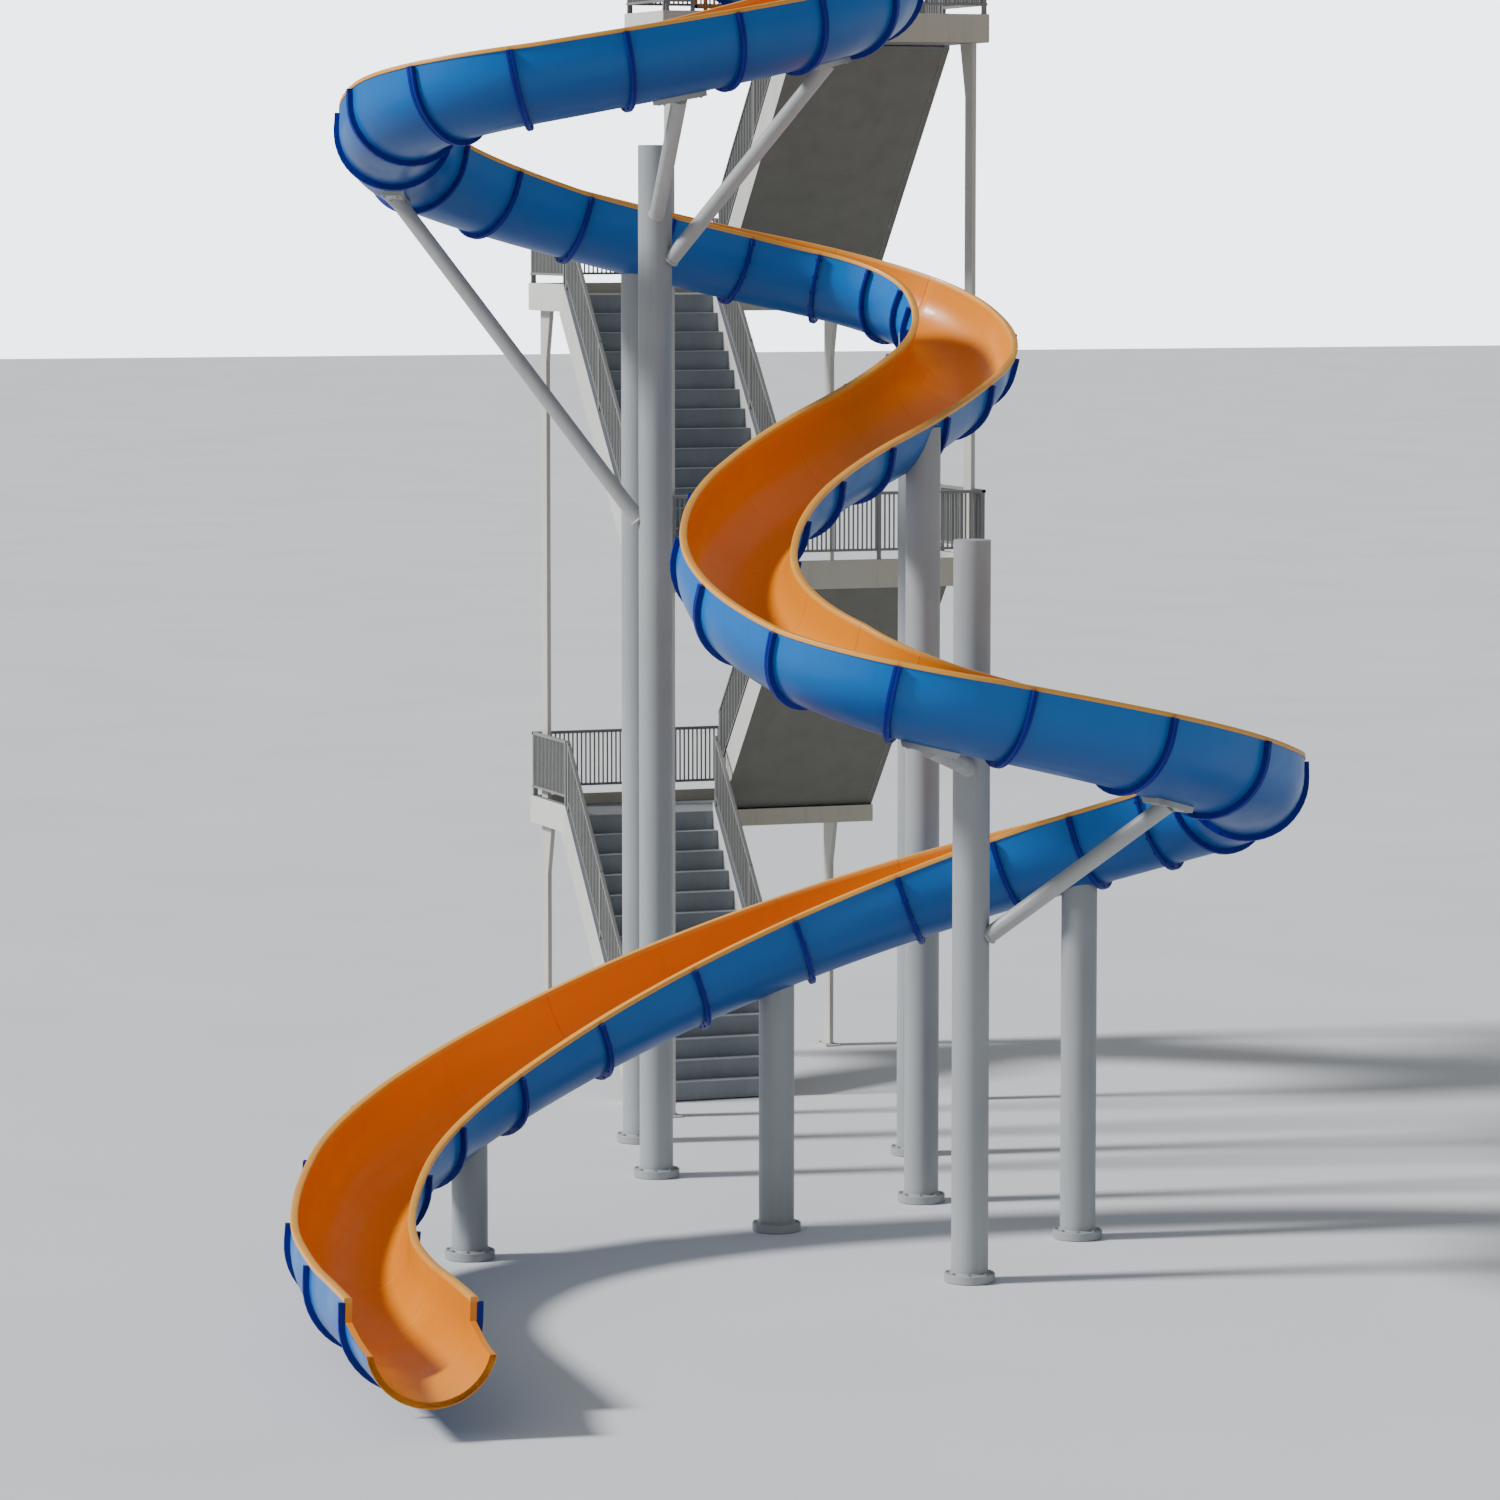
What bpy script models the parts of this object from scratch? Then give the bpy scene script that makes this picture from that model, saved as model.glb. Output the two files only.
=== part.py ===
"""Pool slide: an open flume on round columns, started from a stair tower.

Frame: origin on the ground at the plan centre of the stair tower, X to the right along the
tower width, Y away from the pool, Z up, metres.
"""
import math

import bmesh
import bpy
from mathutils import Matrix, Vector

# ---------------------------------------------------------------- driving dimensions, metres
GAP = 0.0003

# stair tower
STOREY = 2.509
LANDING_HALF_WIDTH = 1.5925
LANDING_OUTER_Y = 2.025
LANDING_INNER_Y = 0.925
SLAB_DEPTH = 0.163
UPSTAND_HEIGHT = 0.10
UPSTAND_THICKNESS = 0.06
UPSTAND_STOP_Y = 1.12
POST_X = 1.4775
POST_THICKNESS = 0.04
POST_Y_NEAR_EDGE = 1.765
POST_Y_FAR_EDGE = 1.945
HAUNCH_REACH = 0.13
HAUNCH_HEIGHT = 0.49
LANE_INNER_X = 0.0275
LANE_OUTER_X = 1.5925
RISERS = 14
GOING = 0.156
STRINGER_THICKNESS = 0.05
STRINGER_ABOVE_NOSING = 0.10
SOFFIT_BELOW_NOSING = 0.33
SOFFIT_RECESS = 0.010
STRINGER_LAP = 0.006
HEAD_TONGUE_Y = 1.044
# flights: level at the foot, direction of climb along Y, lane
FLIGHTS = ((0, 1, -1), (1, -1, 1), (2, 1, -1), (3, -1, 1))

# railings
RAIL_INSET = 0.03
RAIL_THICKNESS = 0.036
RAIL_BOTTOM = 0.089
RAIL_BAR = 0.030
RAIL_TOP = 0.627
RAIL_TOP_ON_FLIGHT = 0.655
RAIL_POST = 0.036
RAIL_END_GAP = 0.02
RAIL_INNER_INSET = 0.025

# flume cross-section
RIM_HALF_WIDTH = 0.472
SKIN_HALF_WIDTH = 0.462
WALL = 0.048
RIM_HEIGHT = 0.035
FLUME_DEPTH = 0.627
FLANGE_PROUD = 0.047
FLANGE_WIDTH = 0.040
FLANGE_CHAMFER = 0.001
ARC_FACETS = 6

# flume path: rim-centre line, starting at the platform edge and heading towards the pool
START = (-0.81, -2.02, 10.82)
START_HEADING = -90.0
PATH_BEGIN = 0.010
EXIT_LENGTH = 0.84
EXIT_CUT_RUN = 0.014
EXIT_STEPS = 5
EXIT_DROP = 0.17
EXIT_END_DROP = 0.255
EXIT_EDGE = 0.012
FINAL_SLOPE = 0.0
FINAL_LIFT = -0.015
# length, turn in degrees (left positive), slope where it begins, lift of the left rim there
STRETCHES = (
    (2.50, 3, 0.050, 0.005),      # straight out from the platform
    (2.20, -74, 0.170, 0.005),    # first right-hand bend
    (2.35, -35, 0.205, 0.005),    # long run to the left
    (1.30, -73, 0.190, 0.025),    # left-end bend
    (1.20, -23, 0.240, 0.020),
    (0.85, -34, 0.230, 0.035),
    (1.50, -37, 0.245, 0.030),
    (1.45, 1, 0.260, 0.035),      # run behind, to the right
    (0.65, -18, 0.225, 0.045),
    (1.70, -72, 0.215, 0.025),    # right-end bend
    (1.50, -43, 0.355, -0.115),   # run crossing towards the pool
    (1.55, -9, 0.310, -0.130),
    (1.40, 10, 0.250, -0.135),
    (1.45, 23, 0.305, -0.110),    # second left-end bend
    (1.85, 44, 0.335, -0.105),
    (1.30, 60, 0.270, -0.005),
    (2.85, 55, 0.230, 0.005),     # front run, to the right
    (1.65, 92, 0.275, -0.005),    # second right-end bend
    (0.85, 3, 0.305, 0.025),      # long last run, to the left
    (4.15, 47, 0.310, 0.015),
    (2.50, 52, 0.435, -0.070),    # last bend, towards the pool
    (2.10, 20, 0.240, -0.050),    # run-out
    (1.15, -1, 0.035, -0.035),
    (2.30, 3, -0.080, -0.015),
)
# moulded sections along the path: how many of one length, in order
SECTION_RUNS = (
    (3, 1.09), (2, 0.75), (1, 0.72), (1, 0.87), (1, 0.81), (1, 0.60), (1, 0.72), (1, 0.83),
    (2, 0.875), (1, 0.86), (2, 0.74), (1, 0.80), (2, 0.72), (1, 0.44), (1, 0.58), (1, 0.64),
    (1, 0.82), (1, 0.86), (2, 0.93), (1, 0.86), (1, 0.82), (1, 0.88), (2, 0.79), (1, 1.06),
    (1, 1.00), (1, 0.98), (3, 0.593), (1, 0.68), (1, 0.86), (2, 0.92), (3, 0.90), (1, 0.94),
    (2, 1.33), (1, 1.94),
)
SECTIONS_PER_PIECE = 3
MAX_TURN_STEP = math.radians(15.0)
MAX_LENGTH_STEP = 0.75
PATH_STEP = 0.02

# flume columns: name, x, y, height of a free top (None: the top carries the flume)
COLUMN_RADIUS = 0.145
COLUMN_DISC_RADIUS = 0.200
COLUMN_DISC_HEIGHT = 0.070
COLUMN_FACETS = 20
COLUMNS = (
    ("column_loop_upper", -2.668, -4.931, 8.888, None),
    ("column_run_behind", -2.215, -3.120, None, 12.56),
    ("column_front_left", -2.590, -7.744, None, 32.34),
    ("column_crossing", -0.969, -6.871, None, 18.2),
    ("column_loop_lower", -1.937, -10.353, 5.804, None),
    ("column_front_right", -0.399, -8.898, None, 29.82),
    ("column_run_out", -5.325, -8.088, None, 35.16),
    ("column_right_bend", -0.150, -4.600, None, 15.80),
)
# support arms: name, column, height on the column axis, distance along the path of the saddle
ARM_RADIUS = 0.066
ARM_FACETS = 12
SADDLE_LENGTH = 0.42
SADDLE_WIDTH = 0.17
SADDLE_THICKNESS = 0.045
SADDLE_GAP = 0.0005
SADDLE_CUP = 0.008
VOID_REACH = 0.95
VOID_TOP = 0.10
COLUMN_LAP = 0.22
CORE_REACH = 1.5
ARMS = (
    ("arm_left_bend", 0, 5.50, 9.76),
    ("arm_upper_run", 0, 8.20, 5.92),
    ("arm_first_bend", 0, 7.75, 4.40),
    ("arm_front_bend", 4, 2.62, 26.60),
    ("arm_front_run", 4, 4.02, 24.50),
)

# start equipment
BAR_RADIUS = 0.021
BAR_HEIGHT = 0.78
BAR_AT = 0.30
BAR_INSET = 0.030
BAR_FACETS = 10
# corner bend of the bar, as steps in from the upright and down from the top
BAR_BEND = ((0.0, 0.10), (0.04, 0.03), (0.11, 0.0))
GATE_WIDTH = 0.92
GATE_HEIGHT = 0.78
GATE_BAR = 0.034
GATE_CLEAR = 0.012
GATE_SILL = 0.02
GATE_Y = -1.94
PIPE_RADIUS = 0.038
PIPE_X = -0.22
PIPE_Y = -1.86
PIPE_RISE = 0.98
PIPE_REACH_X = -0.62
PIPE_END_Y = -2.20
PIPE_DROP = 0.16
PIPE_BEND = 0.07
PIPE_FACETS = 12
LEVER_HEIGHT = 0.55
LEVER_LENGTH = 0.17
LEVER_HUB_RADIUS = 0.016
LEVER_GRIP = 0.022
LEVER_SPINDLE = 0.05
LEVER_STAND_OFF = 0.035
LEVER_THICKNESS = 0.012

COLOURS = {
    "flume_blue": ((0.010, 0.105, 0.370, 1.0), 0.28, 0.0),
    "exit_orange": ((0.800, 0.250, 0.010, 1.0), 0.28, 0.0),
    "column_paint": ((0.460, 0.475, 0.470, 1.0), 0.45, 0.0),
    "arm_paint": ((0.420, 0.430, 0.420, 1.0), 0.45, 0.0),
    "tower_paint": ((0.620, 0.600, 0.540, 1.0), 0.55, 0.0),
    "post_paint": ((0.560, 0.545, 0.490, 1.0), 0.50, 0.0),
    "stair_paint": ((0.230, 0.240, 0.250, 1.0), 0.70, 0.0),
    "rail_paint": ((0.480, 0.475, 0.450, 1.0), 0.45, 0.0),
    "steel": ((0.620, 0.630, 0.640, 1.0), 0.25, 1.0),
    "gate_paint": ((0.800, 0.250, 0.010, 1.0), 0.40, 0.0),
    "lever_red": ((0.550, 0.020, 0.015, 1.0), 0.40, 0.0),
}


# ---------------------------------------------------------------- helpers
def clear_scene():
    for obj in list(bpy.data.objects):
        bpy.data.objects.remove(obj, do_unlink=True)


def material_for(name, kind):
    colour, roughness, metallic = COLOURS[kind]
    mat = bpy.data.materials.new(name + "_mat")
    mat.use_nodes = True
    shader = mat.node_tree.nodes["Principled BSDF"]
    shader.inputs["Base Color"].default_value = colour
    shader.inputs["Roughness"].default_value = roughness
    shader.inputs["Metallic"].default_value = metallic
    mat.diffuse_color = colour
    return mat


def make_object(name, verts, faces, kind):
    mesh = bpy.data.meshes.new(name)
    mesh.from_pydata([tuple(v) for v in verts], [], faces)
    bm = bmesh.new()
    bm.from_mesh(mesh)
    bmesh.ops.recalc_face_normals(bm, faces=bm.faces)
    bm.to_mesh(mesh)
    bm.free()
    obj = bpy.data.objects.new(name, mesh)
    bpy.context.scene.collection.objects.link(obj)
    obj.data.materials.append(material_for(name, kind))
    return obj


def boolean(target, tool, operation):
    """Apply one exact boolean and remove the tool."""
    mod = target.modifiers.new(operation.lower(), "BOOLEAN")
    mod.operation = operation
    mod.solver = "EXACT"
    mod.object = tool
    bpy.context.view_layer.update()
    graph = bpy.context.evaluated_depsgraph_get()
    mesh = bpy.data.meshes.new_from_object(target.evaluated_get(graph))
    target.modifiers.clear()
    old = target.data
    material = old.materials[0]
    target.data = mesh
    mesh.materials.clear()
    mesh.materials.append(material)
    for poly in mesh.polygons:
        poly.material_index = 0
    bpy.data.meshes.remove(old)
    bpy.data.objects.remove(tool, do_unlink=True)


def prism(name, outline, x0, x1, kind):
    """Closed outline in Y and Z, drawn from x0 to x1."""
    count = len(outline)
    verts = [(x0, y, z) for y, z in outline] + [(x1, y, z) for y, z in outline]
    faces = [tuple(range(count)), tuple(range(count, 2 * count))]
    for i in range(count):
        j = (i + 1) % count
        faces.append((i, j, count + j, count + i))
    return make_object(name, verts, faces, kind)


def cell_solid(point, nu, nv, nw, filled):
    """Closed skin round the filled cells of a block of nu by nv by nw cells.

    point(i, j, k) gives the corner position; filled(i, j, k) says whether a cell is solid.
    """
    index = {}
    verts = []
    faces = []

    def corner(i, j, k):
        key = (i, j, k)
        if key not in index:
            index[key] = len(verts)
            verts.append(point(i, j, k))
        return index[key]

    def solid(i, j, k):
        inside = 0 <= i < nu and 0 <= j < nv and 0 <= k < nw
        return inside and filled(i, j, k)

    for i in range(nu):
        for j in range(nv):
            for k in range(nw):
                if not solid(i, j, k):
                    continue
                c = [corner(i + a, j + b, k + d) for a in (0, 1) for b in (0, 1) for d in (0, 1)]
                if not solid(i - 1, j, k):
                    faces.append((c[0], c[1], c[3], c[2]))
                if not solid(i + 1, j, k):
                    faces.append((c[4], c[6], c[7], c[5]))
                if not solid(i, j - 1, k):
                    faces.append((c[0], c[4], c[5], c[1]))
                if not solid(i, j + 1, k):
                    faces.append((c[2], c[3], c[7], c[6]))
                if not solid(i, j, k - 1):
                    faces.append((c[0], c[2], c[6], c[4]))
                if not solid(i, j, k + 1):
                    faces.append((c[1], c[5], c[7], c[3]))
    return verts, faces


def sweep_rings(rings, split=False):
    """Closed skin through rings of equal point count, capped at both ends.

    split cuts every side face along the same diagonal, so that two skins swept through
    the same stations stay parallel where the path twists.
    """
    count = len(rings[0])
    verts = [p for ring in rings for p in ring]
    faces = [tuple(range(count))]
    for r in range(len(rings) - 1):
        a = r * count
        b = a + count
        for i in range(count):
            j = (i + 1) % count
            if split:
                faces.append((a + i, a + j, b + j))
                faces.append((a + i, b + j, b + i))
            else:
                faces.append((a + i, a + j, b + j, b + i))
    last = (len(rings) - 1) * count
    faces.append(tuple(range(last, last + count)))
    return verts, faces


def tube_rings(points, radius, facets):
    """Rings of a round tube through the points, mitred at the corners."""
    pts = [Vector(p) for p in points]
    rings = []
    first = (pts[1] - pts[0]).normalized()
    side = first.orthogonal().normalized()
    for i, p in enumerate(pts):
        before = (p - pts[i - 1]).normalized() if i > 0 else None
        after = (pts[i + 1] - p).normalized() if i < len(pts) - 1 else None
        into = before if before is not None else after
        plane = into if after is None or before is None else (before + after).normalized()
        side = (side - into * side.dot(into)).normalized()
        up = into.cross(side)
        ring = []
        for k in range(facets):
            a = 2.0 * math.pi * k / facets
            offset = side * (radius * math.cos(a)) + up * (radius * math.sin(a))
            slide = offset.dot(plane) / into.dot(plane)
            ring.append(p + offset - into * slide)
        rings.append(ring)
    return rings


def tube(name, points, radius, facets, kind):
    verts, faces = sweep_rings(tube_rings(points, radius, facets))
    return make_object(name, verts, faces, kind)


def box(name, centre, size, kind, turn=None):
    half = [s / 2.0 for s in size]
    turn = turn or Matrix.Identity(3)

    def point(i, j, k):
        local = Vector(((2 * i - 1) * half[0], (2 * j - 1) * half[1], (2 * k - 1) * half[2]))
        return Vector(centre) + turn @ local

    verts, faces = cell_solid(point, 1, 1, 1, lambda i, j, k: True)
    return make_object(name, verts, faces, kind)


# ---------------------------------------------------------------- flume path
class FlumePath:
    """Rim-centre line integrated from the stretches."""

    def __init__(self):
        total = sum(s[0] for s in STRETCHES)
        self.marks = [0.0]
        self.headings = [math.radians(START_HEADING)]
        for length, turn, slope, lift in STRETCHES:
            self.marks.append(self.marks[-1] + length)
            self.headings.append(self.headings[-1] + math.radians(turn))
        self.slopes = [s[2] for s in STRETCHES] + [FINAL_SLOPE]
        self.lifts = [s[3] for s in STRETCHES] + [FINAL_LIFT]
        self.points = [Vector(START)]
        steps = int(math.ceil((total + EXIT_LENGTH) / PATH_STEP))
        for n in range(steps):
            s = (n + 0.5) * PATH_STEP
            h = self.heading(s)
            move = Vector((math.cos(h), math.sin(h), -self.slope(s))) * PATH_STEP
            self.points.append(self.points[-1] + move)

    def table(self, values, s):
        for i in range(len(self.marks) - 1):
            if s <= self.marks[i + 1] or i == len(self.marks) - 2:
                f = (s - self.marks[i]) / (self.marks[i + 1] - self.marks[i])
                return values[i] + (values[i + 1] - values[i]) * f

    def heading(self, s):
        return self.table(self.headings, s)

    def slope(self, s):
        return self.table(self.slopes, min(s, self.marks[-1]))

    def lift(self, s):
        return self.table(self.lifts, min(s, self.marks[-1]))

    def centre(self, s):
        n = min(int(s / PATH_STEP), len(self.points) - 2)
        f = s / PATH_STEP - n
        return self.points[n].lerp(self.points[n + 1], f)

    def axes(self, s):
        """Direction of travel, level direction to the left, and square to both."""
        h = self.heading(s)
        dip = math.atan(self.slope(s))
        travel = Vector((math.cos(h) * math.cos(dip), math.sin(h) * math.cos(dip), -math.sin(dip)))
        level = Vector((-math.sin(h), math.cos(h), 0.0))
        return travel, level, travel.cross(level)

    def frame(self, s):
        """Centre, direction to the left rim, direction up the section."""
        travel, level, upright = self.axes(s)
        roll = math.asin(self.lift(s) / RIM_HALF_WIDTH)
        left = level * math.cos(roll) + upright * math.sin(roll)
        up = upright * math.cos(roll) - level * math.sin(roll)
        return self.centre(s), left, up

    def place(self, s, u, w):
        c, left, up = self.frame(s)
        return c + left * u + up * w


def profile(extra, top, rim):
    """Section outline as (across, up) pairs: down the outside, back up the inside."""
    hub = -(FLUME_DEPTH - SKIN_HALF_WIDTH)
    out = SKIN_HALF_WIDTH + extra
    inner = SKIN_HALF_WIDTH - WALL
    rim_out = RIM_HALF_WIDTH if rim else SKIN_HALF_WIDTH
    under = top - RIM_HEIGHT
    arcs = [math.pi * k / ARC_FACETS for k in range(1, ARC_FACETS)]
    pts = [(rim_out, top), (rim_out, under), (out, under - GAP), (out, hub)]
    pts += [(out * math.cos(a), hub - out * math.sin(a)) for a in arcs]
    pts += [(-out, hub), (-out, under - GAP), (-rim_out, under), (-rim_out, top)]
    pts += [(-inner, top), (-inner, hub)]
    pts += [(-inner * math.cos(a), hub - inner * math.sin(a)) for a in arcs]
    pts += [(inner, hub), (inner, top)]
    return pts


def joint_marks():
    marks = [PATH_BEGIN]
    for count, length in SECTION_RUNS:
        for n in range(count):
            marks.append(marks[-1] + length)
    return marks


def plain_stations(path, s0, s1):
    """Distances strictly between s0 and s1, closer together where the path turns."""
    turn = abs(path.heading(s1) - path.heading(s0))
    count = max(1, math.ceil(turn / MAX_TURN_STEP), math.ceil((s1 - s0) / MAX_LENGTH_STEP))
    return [s0 + (s1 - s0) * k / count for k in range(1, count)]


def piece_stations(path, marks):
    """Distance and flange height at every ring of one bolted piece.

    A half flange closes each end and a whole flange covers each inner joint.
    """
    half = FLANGE_WIDTH / 2.0
    stations = []
    for i in range(len(marks) - 1):
        first = i == 0
        last = i == len(marks) - 2
        s0 = marks[i] + (GAP / 2.0 if first else half)
        s1 = marks[i + 1] - (GAP / 2.0 if last else half)
        stations.append((s0, FLANGE_PROUD))
        if first:
            s0 += half
            stations.append((s0, FLANGE_PROUD))
        foot = s1 - half if last else s1
        stations.append((s0 + FLANGE_CHAMFER, 0.0))
        inner = plain_stations(path, s0 + FLANGE_CHAMFER, foot - FLANGE_CHAMFER)
        stations += [(s, 0.0) for s in inner]
        stations.append((foot - FLANGE_CHAMFER, 0.0))
        stations.append((foot, FLANGE_PROUD))
        if last:
            stations.append((s1, FLANGE_PROUD))
    return stations


def flume_piece(path, name, marks, kind):
    rings = []
    for s, extra in piece_stations(path, marks):
        rings.append([path.place(s, u, w) for u, w in profile(extra, 0.0, True)])
    verts, faces = sweep_rings(rings, True)
    return make_object(name, verts, faces, kind)


def exit_piece(path):
    """Last moulding: a flange, then walls cut down in a hollow curve."""
    begin = joint_marks()[-1] + GAP / 2.0
    full = begin + FLANGE_WIDTH / 2.0
    stations = ((begin, FLANGE_PROUD), (full, FLANGE_PROUD), (full + FLANGE_CHAMFER, 0.0))
    rings = [[path.place(s, u, w) for u, w in profile(extra, 0.0, True)] for s, extra in stations]
    first = full + EXIT_CUT_RUN
    for k in range(EXIT_STEPS + 1):
        f = k / EXIT_STEPS
        s = first + (full + EXIT_LENGTH - first) * f
        drop = EXIT_DROP + (EXIT_END_DROP - EXIT_DROP) * math.sin(0.5 * math.pi * f)
        rings.append([path.place(s, u, w) for u, w in cut_profile(drop)])
    verts, faces = sweep_rings(rings, True)
    return make_object("flume_exit", verts, faces, "exit_orange")


def cut_profile(drop):
    """Section outline with the walls cut off at a depth below the rim line."""
    hub = -(FLUME_DEPTH - SKIN_HALF_WIDTH)
    out = SKIN_HALF_WIDTH
    inner = SKIN_HALF_WIDTH - WALL
    # below the hub line the walls start to curve in, so the cut follows the circle
    deep = max(0.0, drop + hub)
    start_out = math.asin(min(1.0, deep / out))
    start_in = math.asin(min(1.0, deep / inner))
    top = -drop
    corner = min(hub, top - EXIT_EDGE)

    def arc(radius, start, k):
        a = start + (math.pi - 2.0 * start) * k / ARC_FACETS
        return radius * math.cos(a), hub - radius * math.sin(a)

    outer_top = out * math.cos(start_out)
    inner_top = inner * math.cos(start_in)
    lower_out = math.asin(max(deep + EXIT_EDGE, 0.0) / out) if deep > 0.0 else 0.0
    lower_in = math.asin(max(deep + EXIT_EDGE, 0.0) / inner) if deep > 0.0 else 0.0
    step = (top - corner) / 3.0
    if deep > 0.0:
        pts = [arc(out, start_out + (lower_out - start_out) * k / 3.0, 0) for k in range(4)]
    else:
        pts = [(outer_top, top - step * k) for k in range(4)]
    pts += [arc(out, lower_out, k) for k in range(1, ARC_FACETS)]
    pts += [(-u, w) for u, w in reversed(pts[:4])]
    if deep > 0.0:
        ends = [arc(inner, start_in, 0), arc(inner, lower_in, 0)]
    else:
        ends = [(inner_top, top), (inner_top, corner)]
    pts += [(-u, w) for u, w in ends]
    pts += [(-u, w) for u, w in [arc(inner, lower_in, k) for k in range(1, ARC_FACETS)]]
    pts += [ends[1], ends[0]]
    return pts


def piece_marks():
    """Joint distances of each bolted piece ahead of the exit."""
    body = joint_marks()
    groups = []
    start = 0
    while start < len(body) - 1:
        end = min(start + SECTIONS_PER_PIECE, len(body) - 1)
        groups.append(body[start:end + 1])
        start = end
    return groups


def build_flume(path):
    for n, group in enumerate(piece_marks()):
        name = "start_tub" if n == 0 else "flume_%02d" % n
        flume_piece(path, name, group, "flume_blue")
    exit_piece(path)


# ---------------------------------------------------------------- columns and arms
def flume_void(path, near):
    """Solid filling the channel and its skin near a path distance, larger by the clearance."""
    hub = -(FLUME_DEPTH - SKIN_HALF_WIDTH)
    rings = []
    for group in piece_marks():
        for s, extra in piece_stations(path, group):
            if abs(s - near) > VOID_REACH:
                continue
            out = SKIN_HALF_WIDTH + extra + SADDLE_GAP
            outline = [(out, VOID_TOP), (out, -RIM_HEIGHT), (out, hub)]
            for k in range(1, ARC_FACETS):
                a = math.pi * k / ARC_FACETS
                outline.append((out * math.cos(a), hub - out * math.sin(a)))
            outline += [(-out, hub), (-out, -RIM_HEIGHT), (-out, VOID_TOP)]
            rings.append([path.place(s, u, w) for u, w in outline])
    verts, faces = sweep_rings(widened(rings), True)
    return make_object("flume_void", verts, faces, "column_paint")


def widened(rings):
    """Drop rings that fall on top of the one before, as they do where two pieces meet."""
    kept = [rings[0]]
    for ring in rings[1:]:
        if (ring[0] - kept[-1][0]).length > 2.0 * GAP:
            kept.append(ring)
    return kept


def build_column(path, name, x, y, top, near):
    angles = [2.0 * math.pi * k / COLUMN_FACETS for k in range(COLUMN_FACETS)]

    def ring(radius, z):
        return [(x + radius * math.cos(a), y + radius * math.sin(a), z) for a in angles]

    carries = top is None
    if carries:
        top = path.centre(near).z - COLUMN_LAP
    rings = [ring(COLUMN_DISC_RADIUS, 0.0), ring(COLUMN_DISC_RADIUS, COLUMN_DISC_HEIGHT)]
    rings += [ring(COLUMN_RADIUS, COLUMN_DISC_HEIGHT), ring(COLUMN_RADIUS, top)]
    verts, faces = sweep_rings(rings)
    column = make_object(name, verts, faces, "column_paint")
    if carries:
        boolean(column, flume_void(path, near), "DIFFERENCE")


def build_arm(path, name, column, height, s):
    cx, cy = COLUMNS[column][1:3]
    along, across, normal = path.axes(s)
    hub = path.place(s, 0.0, SKIN_HALF_WIDTH - FLUME_DEPTH)
    plate_top = hub - normal * (SKIN_HALF_WIDTH - SADDLE_CUP)
    turn = Matrix((along, across, normal)).transposed()
    centre = plate_top - normal * (SADDLE_THICKNESS / 2.0)
    root = Vector((cx, cy, height))
    arm = tube(name, (root, centre), ARM_RADIUS, ARM_FACETS, "arm_paint")
    plate = box(name + "_plate", centre, (SADDLE_LENGTH, SADDLE_WIDTH, SADDLE_THICKNESS), "arm_paint", turn)
    boolean(arm, plate, "UNION")
    angles = [2.0 * math.pi * k / COLUMN_FACETS for k in range(COLUMN_FACETS)]
    radius = COLUMN_RADIUS + GAP
    rings = []
    for z in (height - CORE_REACH, height + CORE_REACH):
        rings.append([(cx + radius * math.cos(a), cy + radius * math.sin(a), z) for a in angles])
    verts, faces = sweep_rings(rings)
    core = make_object(name + "_core", verts, faces, "arm_paint")
    boolean(arm, core, "DIFFERENCE")
    boolean(arm, flume_void(path, s), "DIFFERENCE")


# ---------------------------------------------------------------- stair tower
def build_landing(name, level, side, passed, guarded):
    """Slab with an upstand on its outer edges.

    passed: slots let the posts of the other storeys through. guarded: an upstand closes
    the inner edge of the lane no flight leaves from.
    """
    floor = STOREY * level
    slot = POST_THICKNESS / 2.0 + GAP
    xs = [-LANDING_HALF_WIDTH, -LANDING_HALF_WIDTH + UPSTAND_THICKNESS, -POST_X - slot, -POST_X + slot]
    xs += [-LANE_INNER_X, LANE_INNER_X, POST_X - slot, POST_X + slot]
    xs += [LANDING_HALF_WIDTH - UPSTAND_THICKNESS, LANDING_HALF_WIDTH]
    ys = [LANDING_INNER_Y, LANDING_INNER_Y + UPSTAND_THICKNESS, UPSTAND_STOP_Y]
    ys += [POST_Y_NEAR_EDGE - GAP, POST_Y_FAR_EDGE + GAP]
    ys += [LANDING_OUTER_Y - UPSTAND_THICKNESS, LANDING_OUTER_Y]
    zs = [floor - SLAB_DEPTH, floor, floor + UPSTAND_HEIGHT]
    arrival = 0 if side > 0 else 8

    def point(i, j, k):
        return (xs[i], side * ys[j], zs[k])

    def filled(i, j, k):
        if k == 1:
            edge = j == 5 or i == arrival or (i in (0, 8) and j >= 2)
            return edge or (guarded and (i == 0 or (j == 0 and i <= 3)))
        return not (passed and i in (2, 6) and j == 3)

    verts, faces = cell_solid(point, len(xs) - 1, len(ys) - 1, 2, filled)
    make_object(name, verts, faces, "tower_paint")


def build_post(name, sign_x, side, tops):
    """Flat blade with a haunch under each landing it carries."""
    outer = side * POST_Y_FAR_EDGE
    inner = side * POST_Y_NEAR_EDGE
    reach = side * (POST_Y_NEAR_EDGE - HAUNCH_REACH)
    outline = [(outer, 0.0), (inner, 0.0)]
    for level in tops[:-1]:
        under = STOREY * level - SLAB_DEPTH - GAP
        outline += [(inner, under - HAUNCH_HEIGHT), (reach, under), (inner, under)]
    under = STOREY * tops[-1] - SLAB_DEPTH - GAP
    outline += [(inner, under - HAUNCH_HEIGHT), (reach, under), (outer, under)]
    x0 = sign_x * POST_X - POST_THICKNESS / 2.0
    prism(name, outline, x0, x0 + POST_THICKNESS, "post_paint")


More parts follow.
